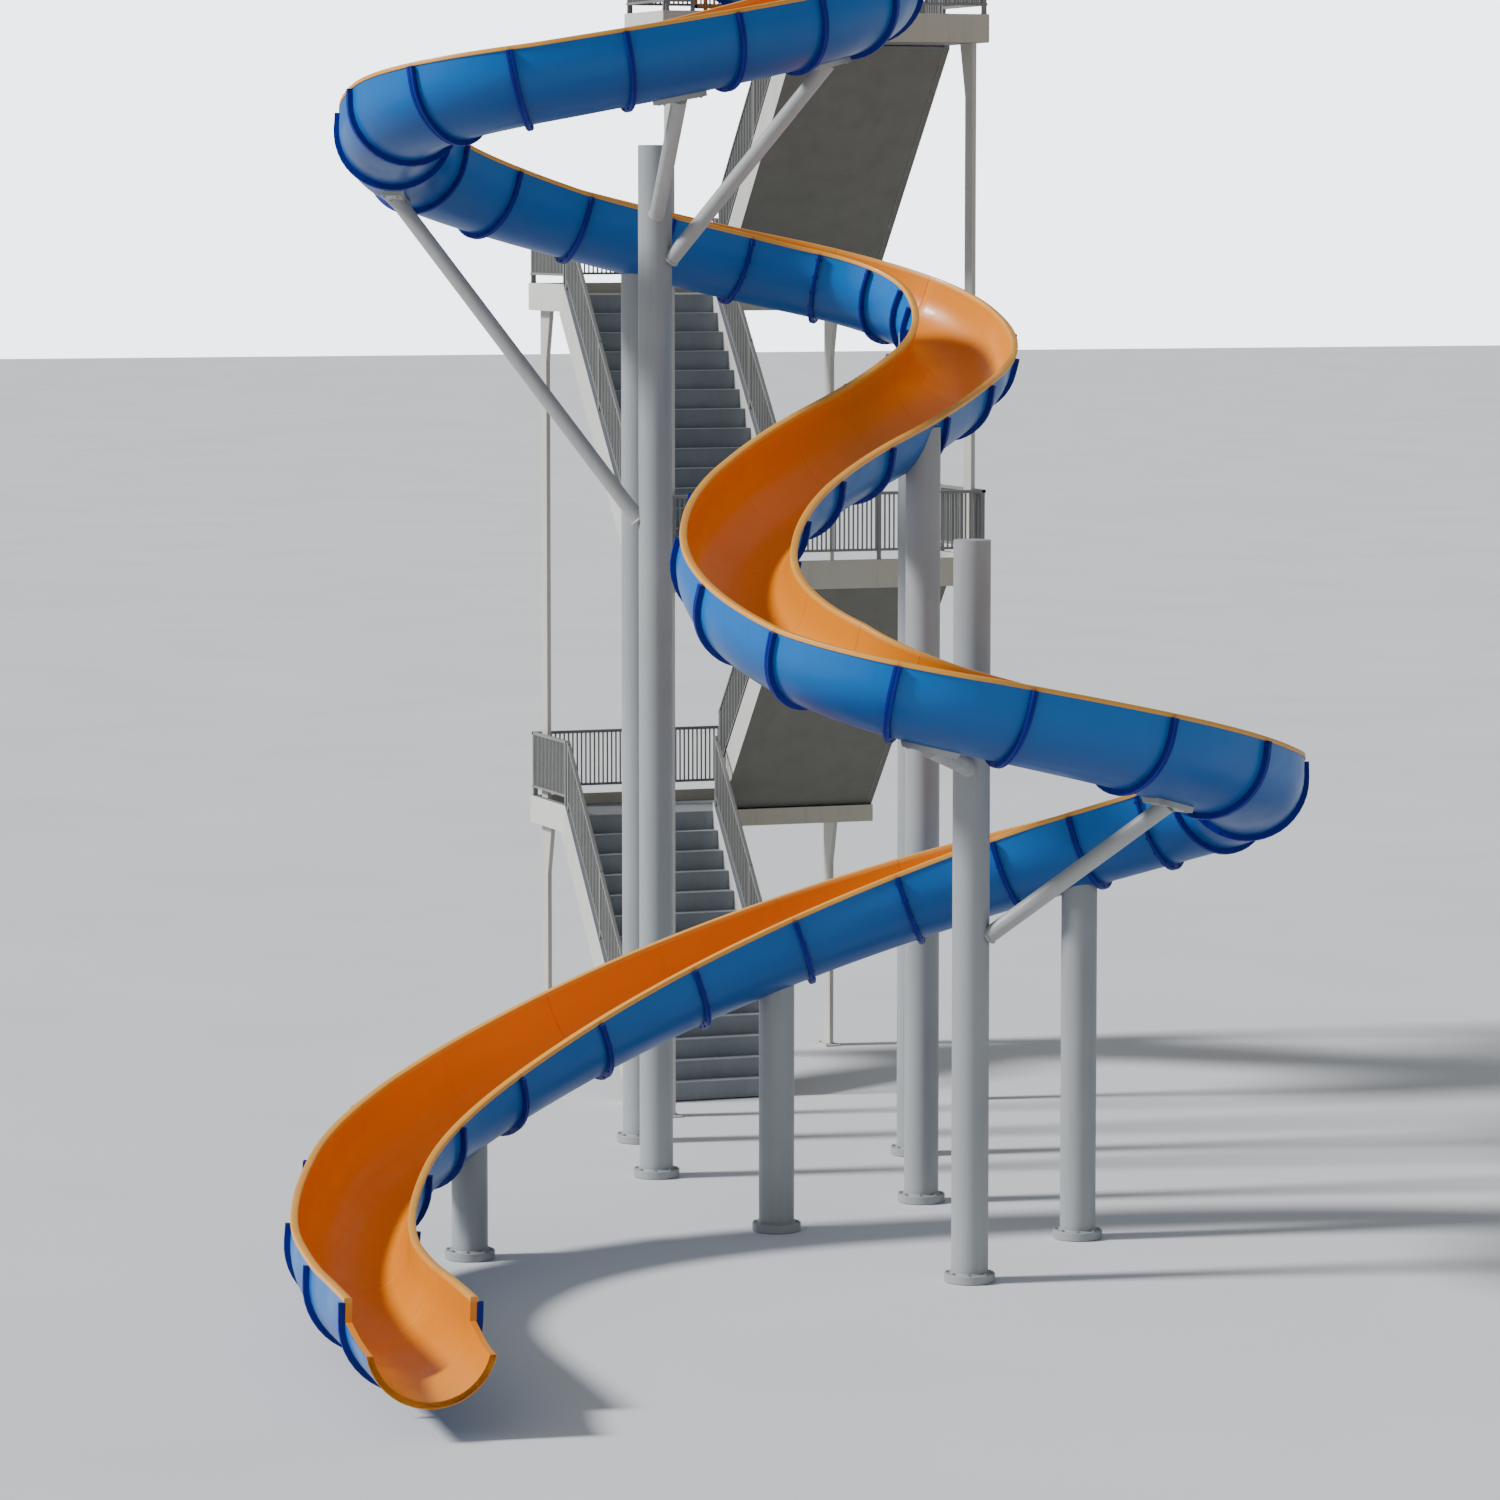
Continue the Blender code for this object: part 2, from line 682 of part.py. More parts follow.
def flight_lines(level):
    """Foot position, foot height and pitch of a flight that starts at a level."""
    rise = STOREY / RISERS
    foot_y = LANDING_INNER_Y - (RISERS - 1) * GOING
    return foot_y, STOREY * level, rise


def build_flight(name, level, direction, lane):
    foot_y, foot_z, rise = flight_lines(level)
    pitch = rise / GOING
    head_z = foot_z + STOREY

    def nosing(y):
        return foot_z + rise + (y - foot_y) * pitch

    def outline(inset, above):
        base = foot_z + GAP + inset
        low = SOFFIT_BELOW_NOSING - inset
        cut_y = foot_y + (base - foot_z - rise + low) / pitch
        tongue_y = HEAD_TONGUE_Y - inset
        under = head_z - SLAB_DEPTH - GAP - inset
        end_y = LANDING_INNER_Y - GAP - inset
        pts = [(foot_y + inset, base), (cut_y, base), (tongue_y, nosing(tongue_y) - low)]
        pts += [(tongue_y, under), (end_y, under)]
        if above is not None:
            pts += [(end_y, nosing(end_y) + above), (foot_y, nosing(foot_y) + above)]
            return pts
        pts.append((end_y, foot_z + (RISERS - 1) * rise))
        for k in range(RISERS - 1, 0, -1):
            riser_y = foot_y + (k - 1) * GOING + inset
            pts.append((riser_y, foot_z + k * rise))
            if k > 1:
                pts.append((riser_y, foot_z + (k - 1) * rise))
        return pts

    side = [(direction * y, z) for y, z in outline(0.0, STRINGER_ABOVE_NOSING)]
    steps = [(direction * y, z) for y, z in outline(SOFFIT_RECESS, None)]
    x0 = lane * LANE_INNER_X
    x1 = lane * LANE_OUTER_X
    lap = STRINGER_LAP * lane
    thick = STRINGER_THICKNESS * lane
    body = prism(name, steps, x0 + thick - lap, x1 - thick + lap, "stair_paint")
    boolean(body, prism(name + "_a", side, x0, x0 + thick, "stair_paint"), "UNION")
    boolean(body, prism(name + "_b", side, x1 - thick, x1, "stair_paint"), "UNION")


def railing(name, plan, base, posts, top):
    """Railing along a plan polyline: bottom rail, top rail, posts down to the base.

    plan holds (x, y) corners, base(x, y) the height it stands on, posts the number of
    bays in each straight part.
    """
    half = RAIL_THICKNESS / 2.0
    stops = []
    for i in range(len(plan) - 1):
        a = Vector(plan[i])
        b = Vector(plan[i + 1])
        length = (b - a).length
        bays = posts[i]
        for n in range(bays + 1):
            if n == 0 and i > 0:
                continue
            at = length * n / bays
            lo = max(0.0, at - RAIL_POST / 2.0)
            hi = min(length, at + RAIL_POST / 2.0)
            if n == 0:
                hi = RAIL_POST
            if n == bays and i == len(plan) - 2:
                lo = length - RAIL_POST
            if n == bays and i < len(plan) - 2:
                stops.append((i, length - RAIL_POST, True))
                stops.append((i + 1, 0.0, True))
                stops.append((i + 1, RAIL_POST, False))
            else:
                stops.append((i, lo, True))
                stops.append((i, hi, False))
    heights = (GAP, RAIL_BOTTOM - RAIL_BAR / 2.0, RAIL_BOTTOM + RAIL_BAR / 2.0, top - RAIL_BAR, top)

    def point(i, j, k):
        part, at, is_post = stops[i]
        a = Vector(plan[part])
        b = Vector(plan[part + 1])
        along = (b - a).normalized()
        left = Vector((-along.y, along.x))
        centre = a + along * at
        offset = left
        if at == 0.0 and part > 0:
            prev = (a - Vector(plan[part - 1])).normalized()
            prev_left = Vector((-prev.y, prev.x))
            mitre = (left + prev_left).normalized()
            offset = mitre / mitre.dot(left)
        p = centre + offset * (half if j else -half)
        return (p.x, p.y, base(centre.x, centre.y) + heights[k])

    def filled(i, j, k):
        if k in (1, 3):
            return True
        return stops[i][2]

    verts, faces = cell_solid(point, len(stops) - 1, 1, 4, filled)
    make_object(name, verts, faces, "rail_paint")


def build_landing_rails():
    edge_x = LANDING_HALF_WIDTH - RAIL_INSET
    edge_y = LANDING_OUTER_Y - RAIL_INSET
    foot_y = UPSTAND_STOP_Y + RAIL_END_GAP / 2.0
    head_y = LANDING_INNER_Y + RAIL_END_GAP
    for name, level, side in (("far_low", 1, 1), ("near_mid", 2, -1), ("far_upper", 3, 1)):
        left_y, right_y = (head_y, foot_y) if side > 0 else (foot_y, head_y)
        plan = [(-edge_x, side * left_y), (-edge_x, side * edge_y)]
        plan += [(edge_x, side * edge_y), (edge_x, side * right_y)]
        height = STOREY * level + UPSTAND_HEIGHT
        railing("rail_" + name, plan, lambda x, y, h=height: h, (1, 3, 1), RAIL_TOP)
    height = STOREY * 4 + UPSTAND_HEIGHT
    opening = GATE_WIDTH / 2.0 + GATE_CLEAR
    guard_y = LANDING_INNER_Y + RAIL_INSET
    left = [(START[0] - opening, -edge_y), (-edge_x, -edge_y), (-edge_x, -guard_y)]
    left.append((-LANE_INNER_X - RAIL_INSET, -guard_y))
    right = [(START[0] + opening, -edge_y), (edge_x, -edge_y), (edge_x, -head_y)]
    railing("rail_platform_left", left, lambda x, y: height, (1, 1, 2), RAIL_TOP)
    railing("rail_platform_right", right, lambda x, y: height, (3, 1), RAIL_TOP)


def build_flight_rails():
    for n, (level, direction, lane) in enumerate(FLIGHTS):
        foot_y, foot_z, rise = flight_lines(level)
        pitch = rise / GOING

        def base(x, y, foot_z=foot_z, direction=direction):
            return foot_z + rise + (direction * y - foot_y) * pitch + STRINGER_ABOVE_NOSING

        start = foot_y + RAIL_END_GAP
        end = LANDING_INNER_Y - RAIL_END_GAP
        for word, x in (("outer", LANE_OUTER_X - RAIL_INSET), ("inner", LANE_INNER_X + RAIL_INNER_INSET)):
            plan = [(lane * x, direction * start), (lane * x, direction * end)]
            railing("rail_flight_%d_%s" % (n + 1, word), plan, base, (2,), RAIL_TOP_ON_FLIGHT)


def build_tower():
    build_landing("landing_far_low", 1, 1, True, False)
    build_landing("landing_near_mid", 2, -1, True, False)
    build_landing("landing_far_upper", 3, 1, False, False)
    build_landing("start_platform", 4, -1, False, True)
    for word, sign in (("left", -1), ("right", 1)):
        build_post("post_near_" + word, sign, -1, (2, 4))
        build_post("post_far_" + word, sign, 1, (1, 3))
    for n, (level, direction, lane) in enumerate(FLIGHTS):
        build_flight("flight_%d" % (n + 1), level, direction, lane)
    build_landing_rails()
    build_flight_rails()


# ---------------------------------------------------------------- start equipment
def build_launch_bar(path):
    reach = RIM_HALF_WIDTH - BAR_INSET
    corner = [(reach - step, BAR_HEIGHT - down) for step, down in BAR_BEND]
    outline = [(reach, GAP)] + corner
    outline += [(-u, w) for u, w in reversed(corner)]
    outline.append((-reach, GAP))
    points = [path.place(BAR_AT, u, w) for u, w in outline]
    tube("launch_bar", points, BAR_RADIUS, BAR_FACETS, "steel")


def build_gate():
    """Framed leaf across the way into the tub, with its hinge line at the left edge."""
    x0 = START[0] - GATE_WIDTH / 2.0
    z0 = STOREY * 4 + UPSTAND_HEIGHT + GATE_SILL
    xs = [x0, x0 + GATE_BAR, x0 + GATE_WIDTH / 2.0 - GATE_BAR / 2.0]
    xs += [x0 + GATE_WIDTH / 2.0 + GATE_BAR / 2.0, x0 + GATE_WIDTH - GATE_BAR, x0 + GATE_WIDTH]
    zs = [z0, z0 + GATE_BAR, z0 + GATE_HEIGHT - GATE_BAR, z0 + GATE_HEIGHT]
    ys = [GATE_Y - GATE_BAR / 2.0, GATE_Y + GATE_BAR / 2.0]

    def point(i, j, k):
        return (xs[i], ys[j], zs[k])

    verts, faces = cell_solid(point, 5, 1, 3, lambda i, j, k: k != 1 or i in (0, 2, 4))
    make_object("start_gate", verts, faces, "gate_paint")


def build_water_inlet():
    floor = STOREY * 4 + GAP
    top = floor + PIPE_RISE
    bend = PIPE_BEND
    near = 0.3 * bend
    low = 0.25 * bend
    points = [(PIPE_X, PIPE_Y, floor), (PIPE_X, PIPE_Y, top - bend)]
    points.append((PIPE_X - near, PIPE_Y - near, top - low))
    points.append((PIPE_X - bend, PIPE_Y - bend, top))
    points.append((PIPE_REACH_X + bend, PIPE_END_Y + bend, top))
    points.append((PIPE_REACH_X + near, PIPE_END_Y + near, top - low))
    points.append((PIPE_REACH_X, PIPE_END_Y, top - bend))
    points.append((PIPE_REACH_X, PIPE_END_Y, top - PIPE_DROP))
    tube("water_inlet", points, PIPE_RADIUS, PIPE_FACETS, "steel")


def build_lever():
    """Lever on the valve spindle, lying along X with its hub on the side of the pipe."""
    z = STOREY * 4 + LEVER_HEIGHT
    y = PIPE_Y + PIPE_RADIUS + GAP
    hub_points = [(PIPE_X, y, z), (PIPE_X, y + LEVER_SPINDLE, z)]
    lever = tube("valve_lever", hub_points, LEVER_HUB_RADIUS, PIPE_FACETS, "lever_red")
    centre = (PIPE_X + LEVER_LENGTH / 2.0, y + LEVER_STAND_OFF, z)
    grip = box("valve_grip", centre, (LEVER_LENGTH, LEVER_THICKNESS, LEVER_GRIP), "lever_red")
    boolean(lever, grip, "UNION")


def main():
    clear_scene()
    path = FlumePath()
    build_flume(path)
    for name, x, y, top, near in COLUMNS:
        build_column(path, name, x, y, top, near)
    for name, column, height, s in ARMS:
        build_arm(path, name, column, height, s)
    build_tower()
    build_launch_bar(path)
    build_gate()
    build_water_inlet()
    build_lever()


main()
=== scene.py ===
"""Looks of the pool slide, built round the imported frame. Metres, row frame."""
import math

import bpy
from mathutils import Matrix, Vector
from mathutils.bvhtree import BVHTree


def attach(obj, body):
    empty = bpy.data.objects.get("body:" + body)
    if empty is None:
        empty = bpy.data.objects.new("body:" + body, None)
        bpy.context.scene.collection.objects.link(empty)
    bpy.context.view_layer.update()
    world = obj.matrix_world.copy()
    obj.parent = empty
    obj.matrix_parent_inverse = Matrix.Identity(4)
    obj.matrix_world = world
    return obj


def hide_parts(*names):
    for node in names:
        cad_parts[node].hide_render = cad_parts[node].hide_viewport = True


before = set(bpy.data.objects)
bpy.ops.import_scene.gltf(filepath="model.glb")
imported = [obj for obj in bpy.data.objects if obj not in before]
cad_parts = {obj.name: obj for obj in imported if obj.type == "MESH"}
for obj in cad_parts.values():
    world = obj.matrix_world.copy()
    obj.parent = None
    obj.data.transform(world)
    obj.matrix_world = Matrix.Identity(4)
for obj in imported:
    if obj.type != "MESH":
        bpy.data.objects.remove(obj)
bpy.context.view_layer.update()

# ---------------------------------------------------------------- dimensions shared with the frame
GAP = 0.0003
STOREY = 2.509
LANDING_HALF_WIDTH = 1.5925
LANDING_OUTER_Y = 2.025
LANDING_INNER_Y = 0.925
UPSTAND_HEIGHT = 0.10
UPSTAND_STOP_Y = 1.12
POST_X = 1.4775
POST_MID_Y = 1.855
LANE_INNER_X = 0.0275
LANE_OUTER_X = 1.5925
RISERS = 14
GOING = 0.156
STRINGER_THICKNESS = 0.05
STRINGER_ABOVE_NOSING = 0.10
RAIL_INSET = 0.03
RAIL_THICKNESS = 0.036
RAIL_BOTTOM = 0.089
RAIL_BAR = 0.030
RAIL_TOP = 0.627
RAIL_TOP_ON_FLIGHT = 0.655
RAIL_POST = 0.036
RAIL_END_GAP = 0.02
RAIL_INNER_INSET = 0.025
FLIGHTS = ((0, 1, -1), (1, -1, 1), (2, 1, -1), (3, -1, 1))
LANDINGS = (("far_low", 1, 1), ("near_mid", 2, -1), ("far_upper", 3, 1))
POSTS = (("near_left", -1, -1), ("near_right", 1, -1), ("far_left", -1, 1), ("far_right", 1, 1))
PLATFORM_Z = STOREY * 4
RISE = STOREY / RISERS
FLIGHT_FOOT_Y = LANDING_INNER_Y - (RISERS - 1) * GOING

RIM_HALF_WIDTH = 0.472
SKIN_HALF_WIDTH = 0.462
WALL = 0.048
RIM_HEIGHT = 0.035
FLUME_DEPTH = 0.627
FLANGE_PROUD = 0.047
FLANGE_WIDTH = 0.040
START = (-0.81, -2.02, 10.82)
START_HEADING = -90.0
PATH_BEGIN = 0.010
EXIT_LENGTH = 0.84
EXIT_DROP = 0.17
EXIT_END_DROP = 0.255
FINAL_SLOPE = 0.0
FINAL_LIFT = -0.015
STRETCHES = (
    (2.50, 3, 0.050, 0.005),
    (2.20, -74, 0.170, 0.005),
    (2.35, -35, 0.205, 0.005),
    (1.30, -73, 0.190, 0.025),
    (1.20, -23, 0.240, 0.020),
    (0.85, -34, 0.230, 0.035),
    (1.50, -37, 0.245, 0.030),
    (1.45, 1, 0.260, 0.035),
    (0.65, -18, 0.225, 0.045),
    (1.70, -72, 0.215, 0.025),
    (1.50, -43, 0.355, -0.115),
    (1.55, -9, 0.310, -0.130),
    (1.40, 10, 0.250, -0.135),
    (1.45, 23, 0.305, -0.110),
    (1.85, 44, 0.335, -0.105),
    (1.30, 60, 0.270, -0.005),
    (2.85, 55, 0.230, 0.005),
    (1.65, 92, 0.275, -0.005),
    (0.85, 3, 0.305, 0.025),
    (4.15, 47, 0.310, 0.015),
    (2.50, 52, 0.435, -0.070),
    (2.10, 20, 0.240, -0.050),
    (1.15, -1, 0.035, -0.035),
    (2.30, 3, -0.080, -0.015),
)
SECTION_RUNS = (
    (3, 1.09), (2, 0.75), (1, 0.72), (1, 0.87), (1, 0.81), (1, 0.60), (1, 0.72), (1, 0.83),
    (2, 0.875), (1, 0.86), (2, 0.74), (1, 0.80), (2, 0.72), (1, 0.44), (1, 0.58), (1, 0.64),
    (1, 0.82), (1, 0.86), (2, 0.93), (1, 0.86), (1, 0.82), (1, 0.88), (2, 0.79), (1, 1.06),
    (1, 1.00), (1, 0.98), (3, 0.593), (1, 0.68), (1, 0.86), (2, 0.92), (3, 0.90), (1, 0.94),
    (2, 1.33), (1, 1.94),
)
SECTIONS_PER_PIECE = 3
PATH_STEP = 0.02

COLUMN_RADIUS = 0.145
COLUMN_DISC_RADIUS = 0.200
COLUMN_DISC_HEIGHT = 0.070
COLUMNS = (
    ("column_loop_upper", -2.668, -4.931, 8.888, None),
    ("column_run_behind", -2.215, -3.120, None, 12.56),
    ("column_front_left", -2.590, -7.744, None, 32.34),
    ("column_crossing", -0.969, -6.871, None, 18.2),
    ("column_loop_lower", -1.937, -10.353, 5.804, None),
    ("column_front_right", -0.399, -8.898, None, 29.82),
    ("column_run_out", -5.325, -8.088, None, 35.16),
    ("column_right_bend", -0.150, -4.600, None, 15.80),
)
ARM_RADIUS = 0.066
SADDLE_LENGTH = 0.42
SADDLE_WIDTH = 0.17
SADDLE_THICKNESS = 0.045
SADDLE_GAP = 0.0005
SADDLE_CUP = 0.008
COLUMN_LAP = 0.22
ARMS = (
    ("arm_left_bend", 0, 5.50, 9.76),
    ("arm_upper_run", 0, 8.20, 5.92),
    ("arm_first_bend", 0, 7.75, 4.40),
    ("arm_front_bend", 4, 2.62, 26.60),
    ("arm_front_run", 4, 4.02, 24.50),
)
BAR_RADIUS = 0.021
BAR_HEIGHT = 0.78
BAR_AT = 0.30
BAR_INSET = 0.030
GATE_WIDTH = 0.92
GATE_HEIGHT = 0.78
GATE_BAR = 0.034
GATE_CLEAR = 0.012
GATE_SILL = 0.02
GATE_Y = -1.94
PIPE_RADIUS = 0.038
PIPE_X = -0.22
PIPE_Y = -1.86
PIPE_RISE = 0.98
PIPE_REACH_X = -0.62
PIPE_END_Y = -2.20
PIPE_DROP = 0.16
LEVER_HEIGHT = 0.55
LEVER_LENGTH = 0.17
LEVER_HUB_RADIUS = 0.016
LEVER_GRIP = 0.022
LEVER_SPINDLE = 0.05
LEVER_STAND_OFF = 0.035
LEVER_THICKNESS = 0.012

# ---------------------------------------------------------------- values of the looks only
UP = (0, 0, 1)
CORNERS = ((-1, -1), (-1, 1), (1, -1), (1, 1))
STATION_STEP = 0.07
ARC_STEPS = 22
BED_RADIUS = SKIN_HALF_WIDTH - WALL
SEAM_RADIUS = 0.446
HUB = -(FLUME_DEPTH - SKIN_HALF_WIDTH)
LIP_ROUND = 0.010
LIP_CHAMFER = 0.3
GROOVE_DEPTH = 0.002
GROOVE_HALF = 0.003
SEAM_HALF = 0.001
WASHER_SCALE = 1.45
FLANGE_EDGE = 0.004
FLANGE_LAP = 0.002
FLANGE_BELOW_RIM = 0.001
JOINT_LINE_TOP = 0.0025
JOINT_LINE_BOTTOM = 0.001
JOINT_LINE_DEPTH = 0.005
FLANGE_BOLTS = 10
FLANGE_BOLT_AT = 0.55
FLANGE_TOP_BOLT = -0.085
FLANGE_BOLT_RADIUS = 0.009
FLANGE_BOLT_HEIGHT = 0.008
EXIT_STATION_STEP = 0.04
EXIT_EDGE = 0.006

ROUND_FACETS = 48
DISC_EDGE = 0.006
COLUMN_INSET = 0.01
DISC_BOLTS = 8
DISC_BOLT_OUT = 0.003
DISC_BOLT_RADIUS = 0.012
DISC_BOLT_HEIGHT = 0.014
WELD_OUTLINE = ((0.010, -0.001), (0.007, 0.005), (-0.005, 0.011))
CAP_OUTLINE = ((-0.001, -0.004), (-0.001, 0.0), (-0.006, 0.001))
PROBE_BELOW = 0.5
PROBE_REACH = 2.0
ARM_FACETS = 36
ARM_WELD_OUTLINE = ((0.0, 0.0), (0.009, 0.012), (0.009, 0.020), (0.0, 0.030))
SADDLE_STEPS = 8
SADDLE_BOLT_ALONG = 0.165
SADDLE_BOLT_ACROSS = 0.060
SADDLE_BOLT_RADIUS = 0.012
SADDLE_BOLT_HEIGHT = 0.010

EDGE_SOFTENING = 0.004
EDGE_ANGLE = 35.0
NOSING_GAP = 0.001
NOSING_SET_BACK = 0.010
NOSING_MID = 0.011
NOSING_SINK = 0.002
NOSING_HALF_DEPTH = 0.016
NOSING_HALF_HEIGHT = 0.005
NOSING_EDGE = 0.002
HEAD_RISER = 0.005
HEAD_RISER_EDGE = 0.001
FOOT_HALF = (0.075, 0.135, 0.008)
FOOT_TOP = 0.016
FOOT_BOLT_X = 0.050
FOOT_BOLT_Y = 0.105
FOOT_BOLT_RADIUS = 0.010
FOOT_BOLT_HEIGHT = 0.012
BALUSTER_PITCH = 0.0445
BALUSTER = 0.014
BOTTOM_RAIL_SCALE = 0.8
RAIL_POST_SCALE = 0.9
RAIL_POST_BELOW_TOP = 0.004
RAIL_FOOT_HEIGHT = 0.012
BAR_CORNER_CUT = 0.2
CRISP_ANGLE = 20.0

LAUNCH_BAR_BEND = 0.105
LAUNCH_FOOT_OUTLINE = ((0.029, 0.0), (0.029, 0.006), (0.024, 0.008))
GRIP_HALF_LENGTH = 0.22
GRIP_PROUD = 0.003
GATE_STILE_SHORT = 0.001
GATE_BARS_PER_HALF = 4
HINGE_FROM_BOTTOM = 0.10
HINGE_FROM_TOP = 0.14
HINGE_RADIUS = 0.010
HINGE_HEIGHT = 0.05
HINGE_OUT = 0.004
LATCH_HALF = (0.016, 0.006, 0.040)
LATCH_FROM_EDGE = 0.02
LATCH_FROM_TOP = 0.10
PIPE_BEND = 0.075
PIPE_SKIN = 0.001
PIPE_FACETS = 32
PIPE_RING_HEIGHTS = (0.0, 0.42, 0.66)
PIPE_RING_OUTLINE = ((0.037, 0.0), (0.0445, 0.001), (0.0445, 0.011), (0.037, 0.012))
SPOUT_RING_OUTLINE = ((0.037, 0.0), (0.0425, 0.002), (0.0425, 0.018), (0.037, 0.02))
LEVER_EDGE = 0.004
LEVER_NUT = 0.003
LEVER_NUT_TAPER = 0.8

FLOOR_HALF_SIZE = 260.0
FLOOR_DROP = 0.002
SKY_COLOUR = (0.90, 0.95, 1.0, 1.0)
SKY_LIGHT = 0.32
SKY_SEEN = 4.0
SUNS = (
    ("key", 4.8, (52.0, 0.0, -100.0), 9.0),
    ("fill", 0.25, (55.0, 0.0, -60.0), 60.0),
)
CAMERA_AT = (-18.4766, -51.1300, 8.3621)
CAMERA_DIP = 0.0950
CAMERA_HEADING = -0.3463
LENS = 136.74
SENSOR = 36.0
CLIP_END = 2000.0

# Each span is the stretch of a noise value, or of how far a face looks sideways or up, over which
# one colour gives way to the next.
TONE_SPAN = (0.35, 0.68)
# Span over which faces that look along X blend to the side colour, painted light.
LIT_SIDE_SPAN = (0.5, 0.6)
TOP_SPAN = (0.6, 0.75)
# Spans over which downward-looking faces darken to the under colour, painted shade: quickly on flat
# faces, gradually on rounded shells.
FLAT_SHADE_SPAN = (-0.3, -0.45)
ROUNDED_SHADE_SPAN = (0.20, -0.75)
STREAK_SPAN = (0.52, 0.78)
STREAK_STRETCH = (9.0, 9.0, 0.7)
STREAK_SCALE = 1.6
GLOSS_SPAN = (0.3, 0.7)
GLOSS_LOW = 0.8
GLOSS_HIGH = 1.3
COAT_ROUGHNESS = 0.08
RELIEF_DISTANCE = 0.004


# ---------------------------------------------------------------- materials
def surface(name, main, second, roughness, metallic=0.0, coat=0.0, shine=0.5, patch=0.9, grain=70.0,
            bump=0.04, streaks=0.0, dirt=(0.10, 0.09, 0.07), painted_shade=None, top=None, side=None,
            rounded_painted_shade=False):
    """Procedural finish in row-frame metres: two tones, grain, rain streaks, and colours by facing:
    painted shade on undersides, painted light on faces that look sideways, an own colour on tops.
    """
    mat = bpy.data.materials.new(name)
    mat.use_nodes = True
    nodes = mat.node_tree.nodes
    link = mat.node_tree.links.new
    shader = nodes["Principled BSDF"]
    coords = nodes.new("ShaderNodeTexCoord")

    def noise(scale, detail, vector=None):
        tex = nodes.new("ShaderNodeTexNoise")
        tex.inputs["Scale"].default_value = scale
        tex.inputs["Detail"].default_value = detail
        link(vector or coords.outputs["Object"], tex.inputs["Vector"])
        return tex.outputs["Fac"]

    def ramp(value, span, out_low=0.0, out_high=1.0):
        node = nodes.new("ShaderNodeMapRange")
        node.inputs["From Min"].default_value = span[0]
        node.inputs["From Max"].default_value = span[1]
        node.inputs["To Min"].default_value = out_low
        node.inputs["To Max"].default_value = out_high
        link(value, node.inputs["Value"])
        return node.outputs["Result"]

    def mixed(factor, a, b):
        node = nodes.new("ShaderNodeMix")
        node.data_type = "RGBA"
        link(factor, node.inputs["Factor"])
        for socket, value in (("A", a), ("B", b)):
            target = [i for i in node.inputs if i.name == socket and i.type == "RGBA"][0]
            if isinstance(value, tuple):
                target.default_value = value + (1.0,)
            else:
                link(value, target)
        return [o for o in node.outputs if o.type == "RGBA"][0]

    colour = mixed(ramp(noise(patch, 4.0), TONE_SPAN), main, second)
    if painted_shade or top or side:
        split = nodes.new("ShaderNodeSeparateXYZ")
        normal = "Normal" if rounded_painted_shade else "True Normal"
        link(nodes.new("ShaderNodeNewGeometry").outputs[normal], split.inputs["Vector"])
        # Faces that look along X blend to the side colour: painted light where the key light falls
        # on the sides.
        if side:
            lit_side_mask = nodes.new("ShaderNodeMath")
            lit_side_mask.operation = "ABSOLUTE"
            link(split.outputs["X"], lit_side_mask.inputs[0])
            colour = mixed(ramp(lit_side_mask.outputs["Value"], LIT_SIDE_SPAN), colour, side)
        # Downward-looking faces blend to the under colour: painted shade, fading in gradually on
        # rounded shells.
        if painted_shade:
            span = ROUNDED_SHADE_SPAN if rounded_painted_shade else FLAT_SHADE_SPAN
            colour = mixed(ramp(split.outputs["Z"], span), colour, painted_shade)
        if top:
            colour = mixed(ramp(split.outputs["Z"], TOP_SPAN), colour, top)
    if streaks:
        mapping = nodes.new("ShaderNodeMapping")
        mapping.inputs["Scale"].default_value = STREAK_STRETCH
        link(coords.outputs["Object"], mapping.inputs["Vector"])
        run = ramp(noise(STREAK_SCALE, 6.0, mapping.outputs["Vector"]), STREAK_SPAN, 0.0, streaks)
        colour = mixed(run, colour, dirt)
    link(colour, shader.inputs["Base Color"])
    dull = min(1.0, roughness * GLOSS_HIGH)
    gloss = ramp(noise(patch * 4.0, 5.0), GLOSS_SPAN, roughness * GLOSS_LOW, dull)
    link(gloss, shader.inputs["Roughness"])
    shader.inputs["Metallic"].default_value = metallic
    shader.inputs["Specular IOR Level"].default_value = shine
    shader.inputs["Coat Weight"].default_value = coat
    shader.inputs["Coat Roughness"].default_value = COAT_ROUGHNESS
    relief = nodes.new("ShaderNodeBump")
    relief.inputs["Strength"].default_value = bump
    relief.inputs["Distance"].default_value = RELIEF_DISTANCE
    link(noise(grain, 3.0), relief.inputs["Height"])
    link(relief.outputs["Normal"], shader.inputs["Normal"])
    mat.diffuse_color = main + (1.0,)
    return mat


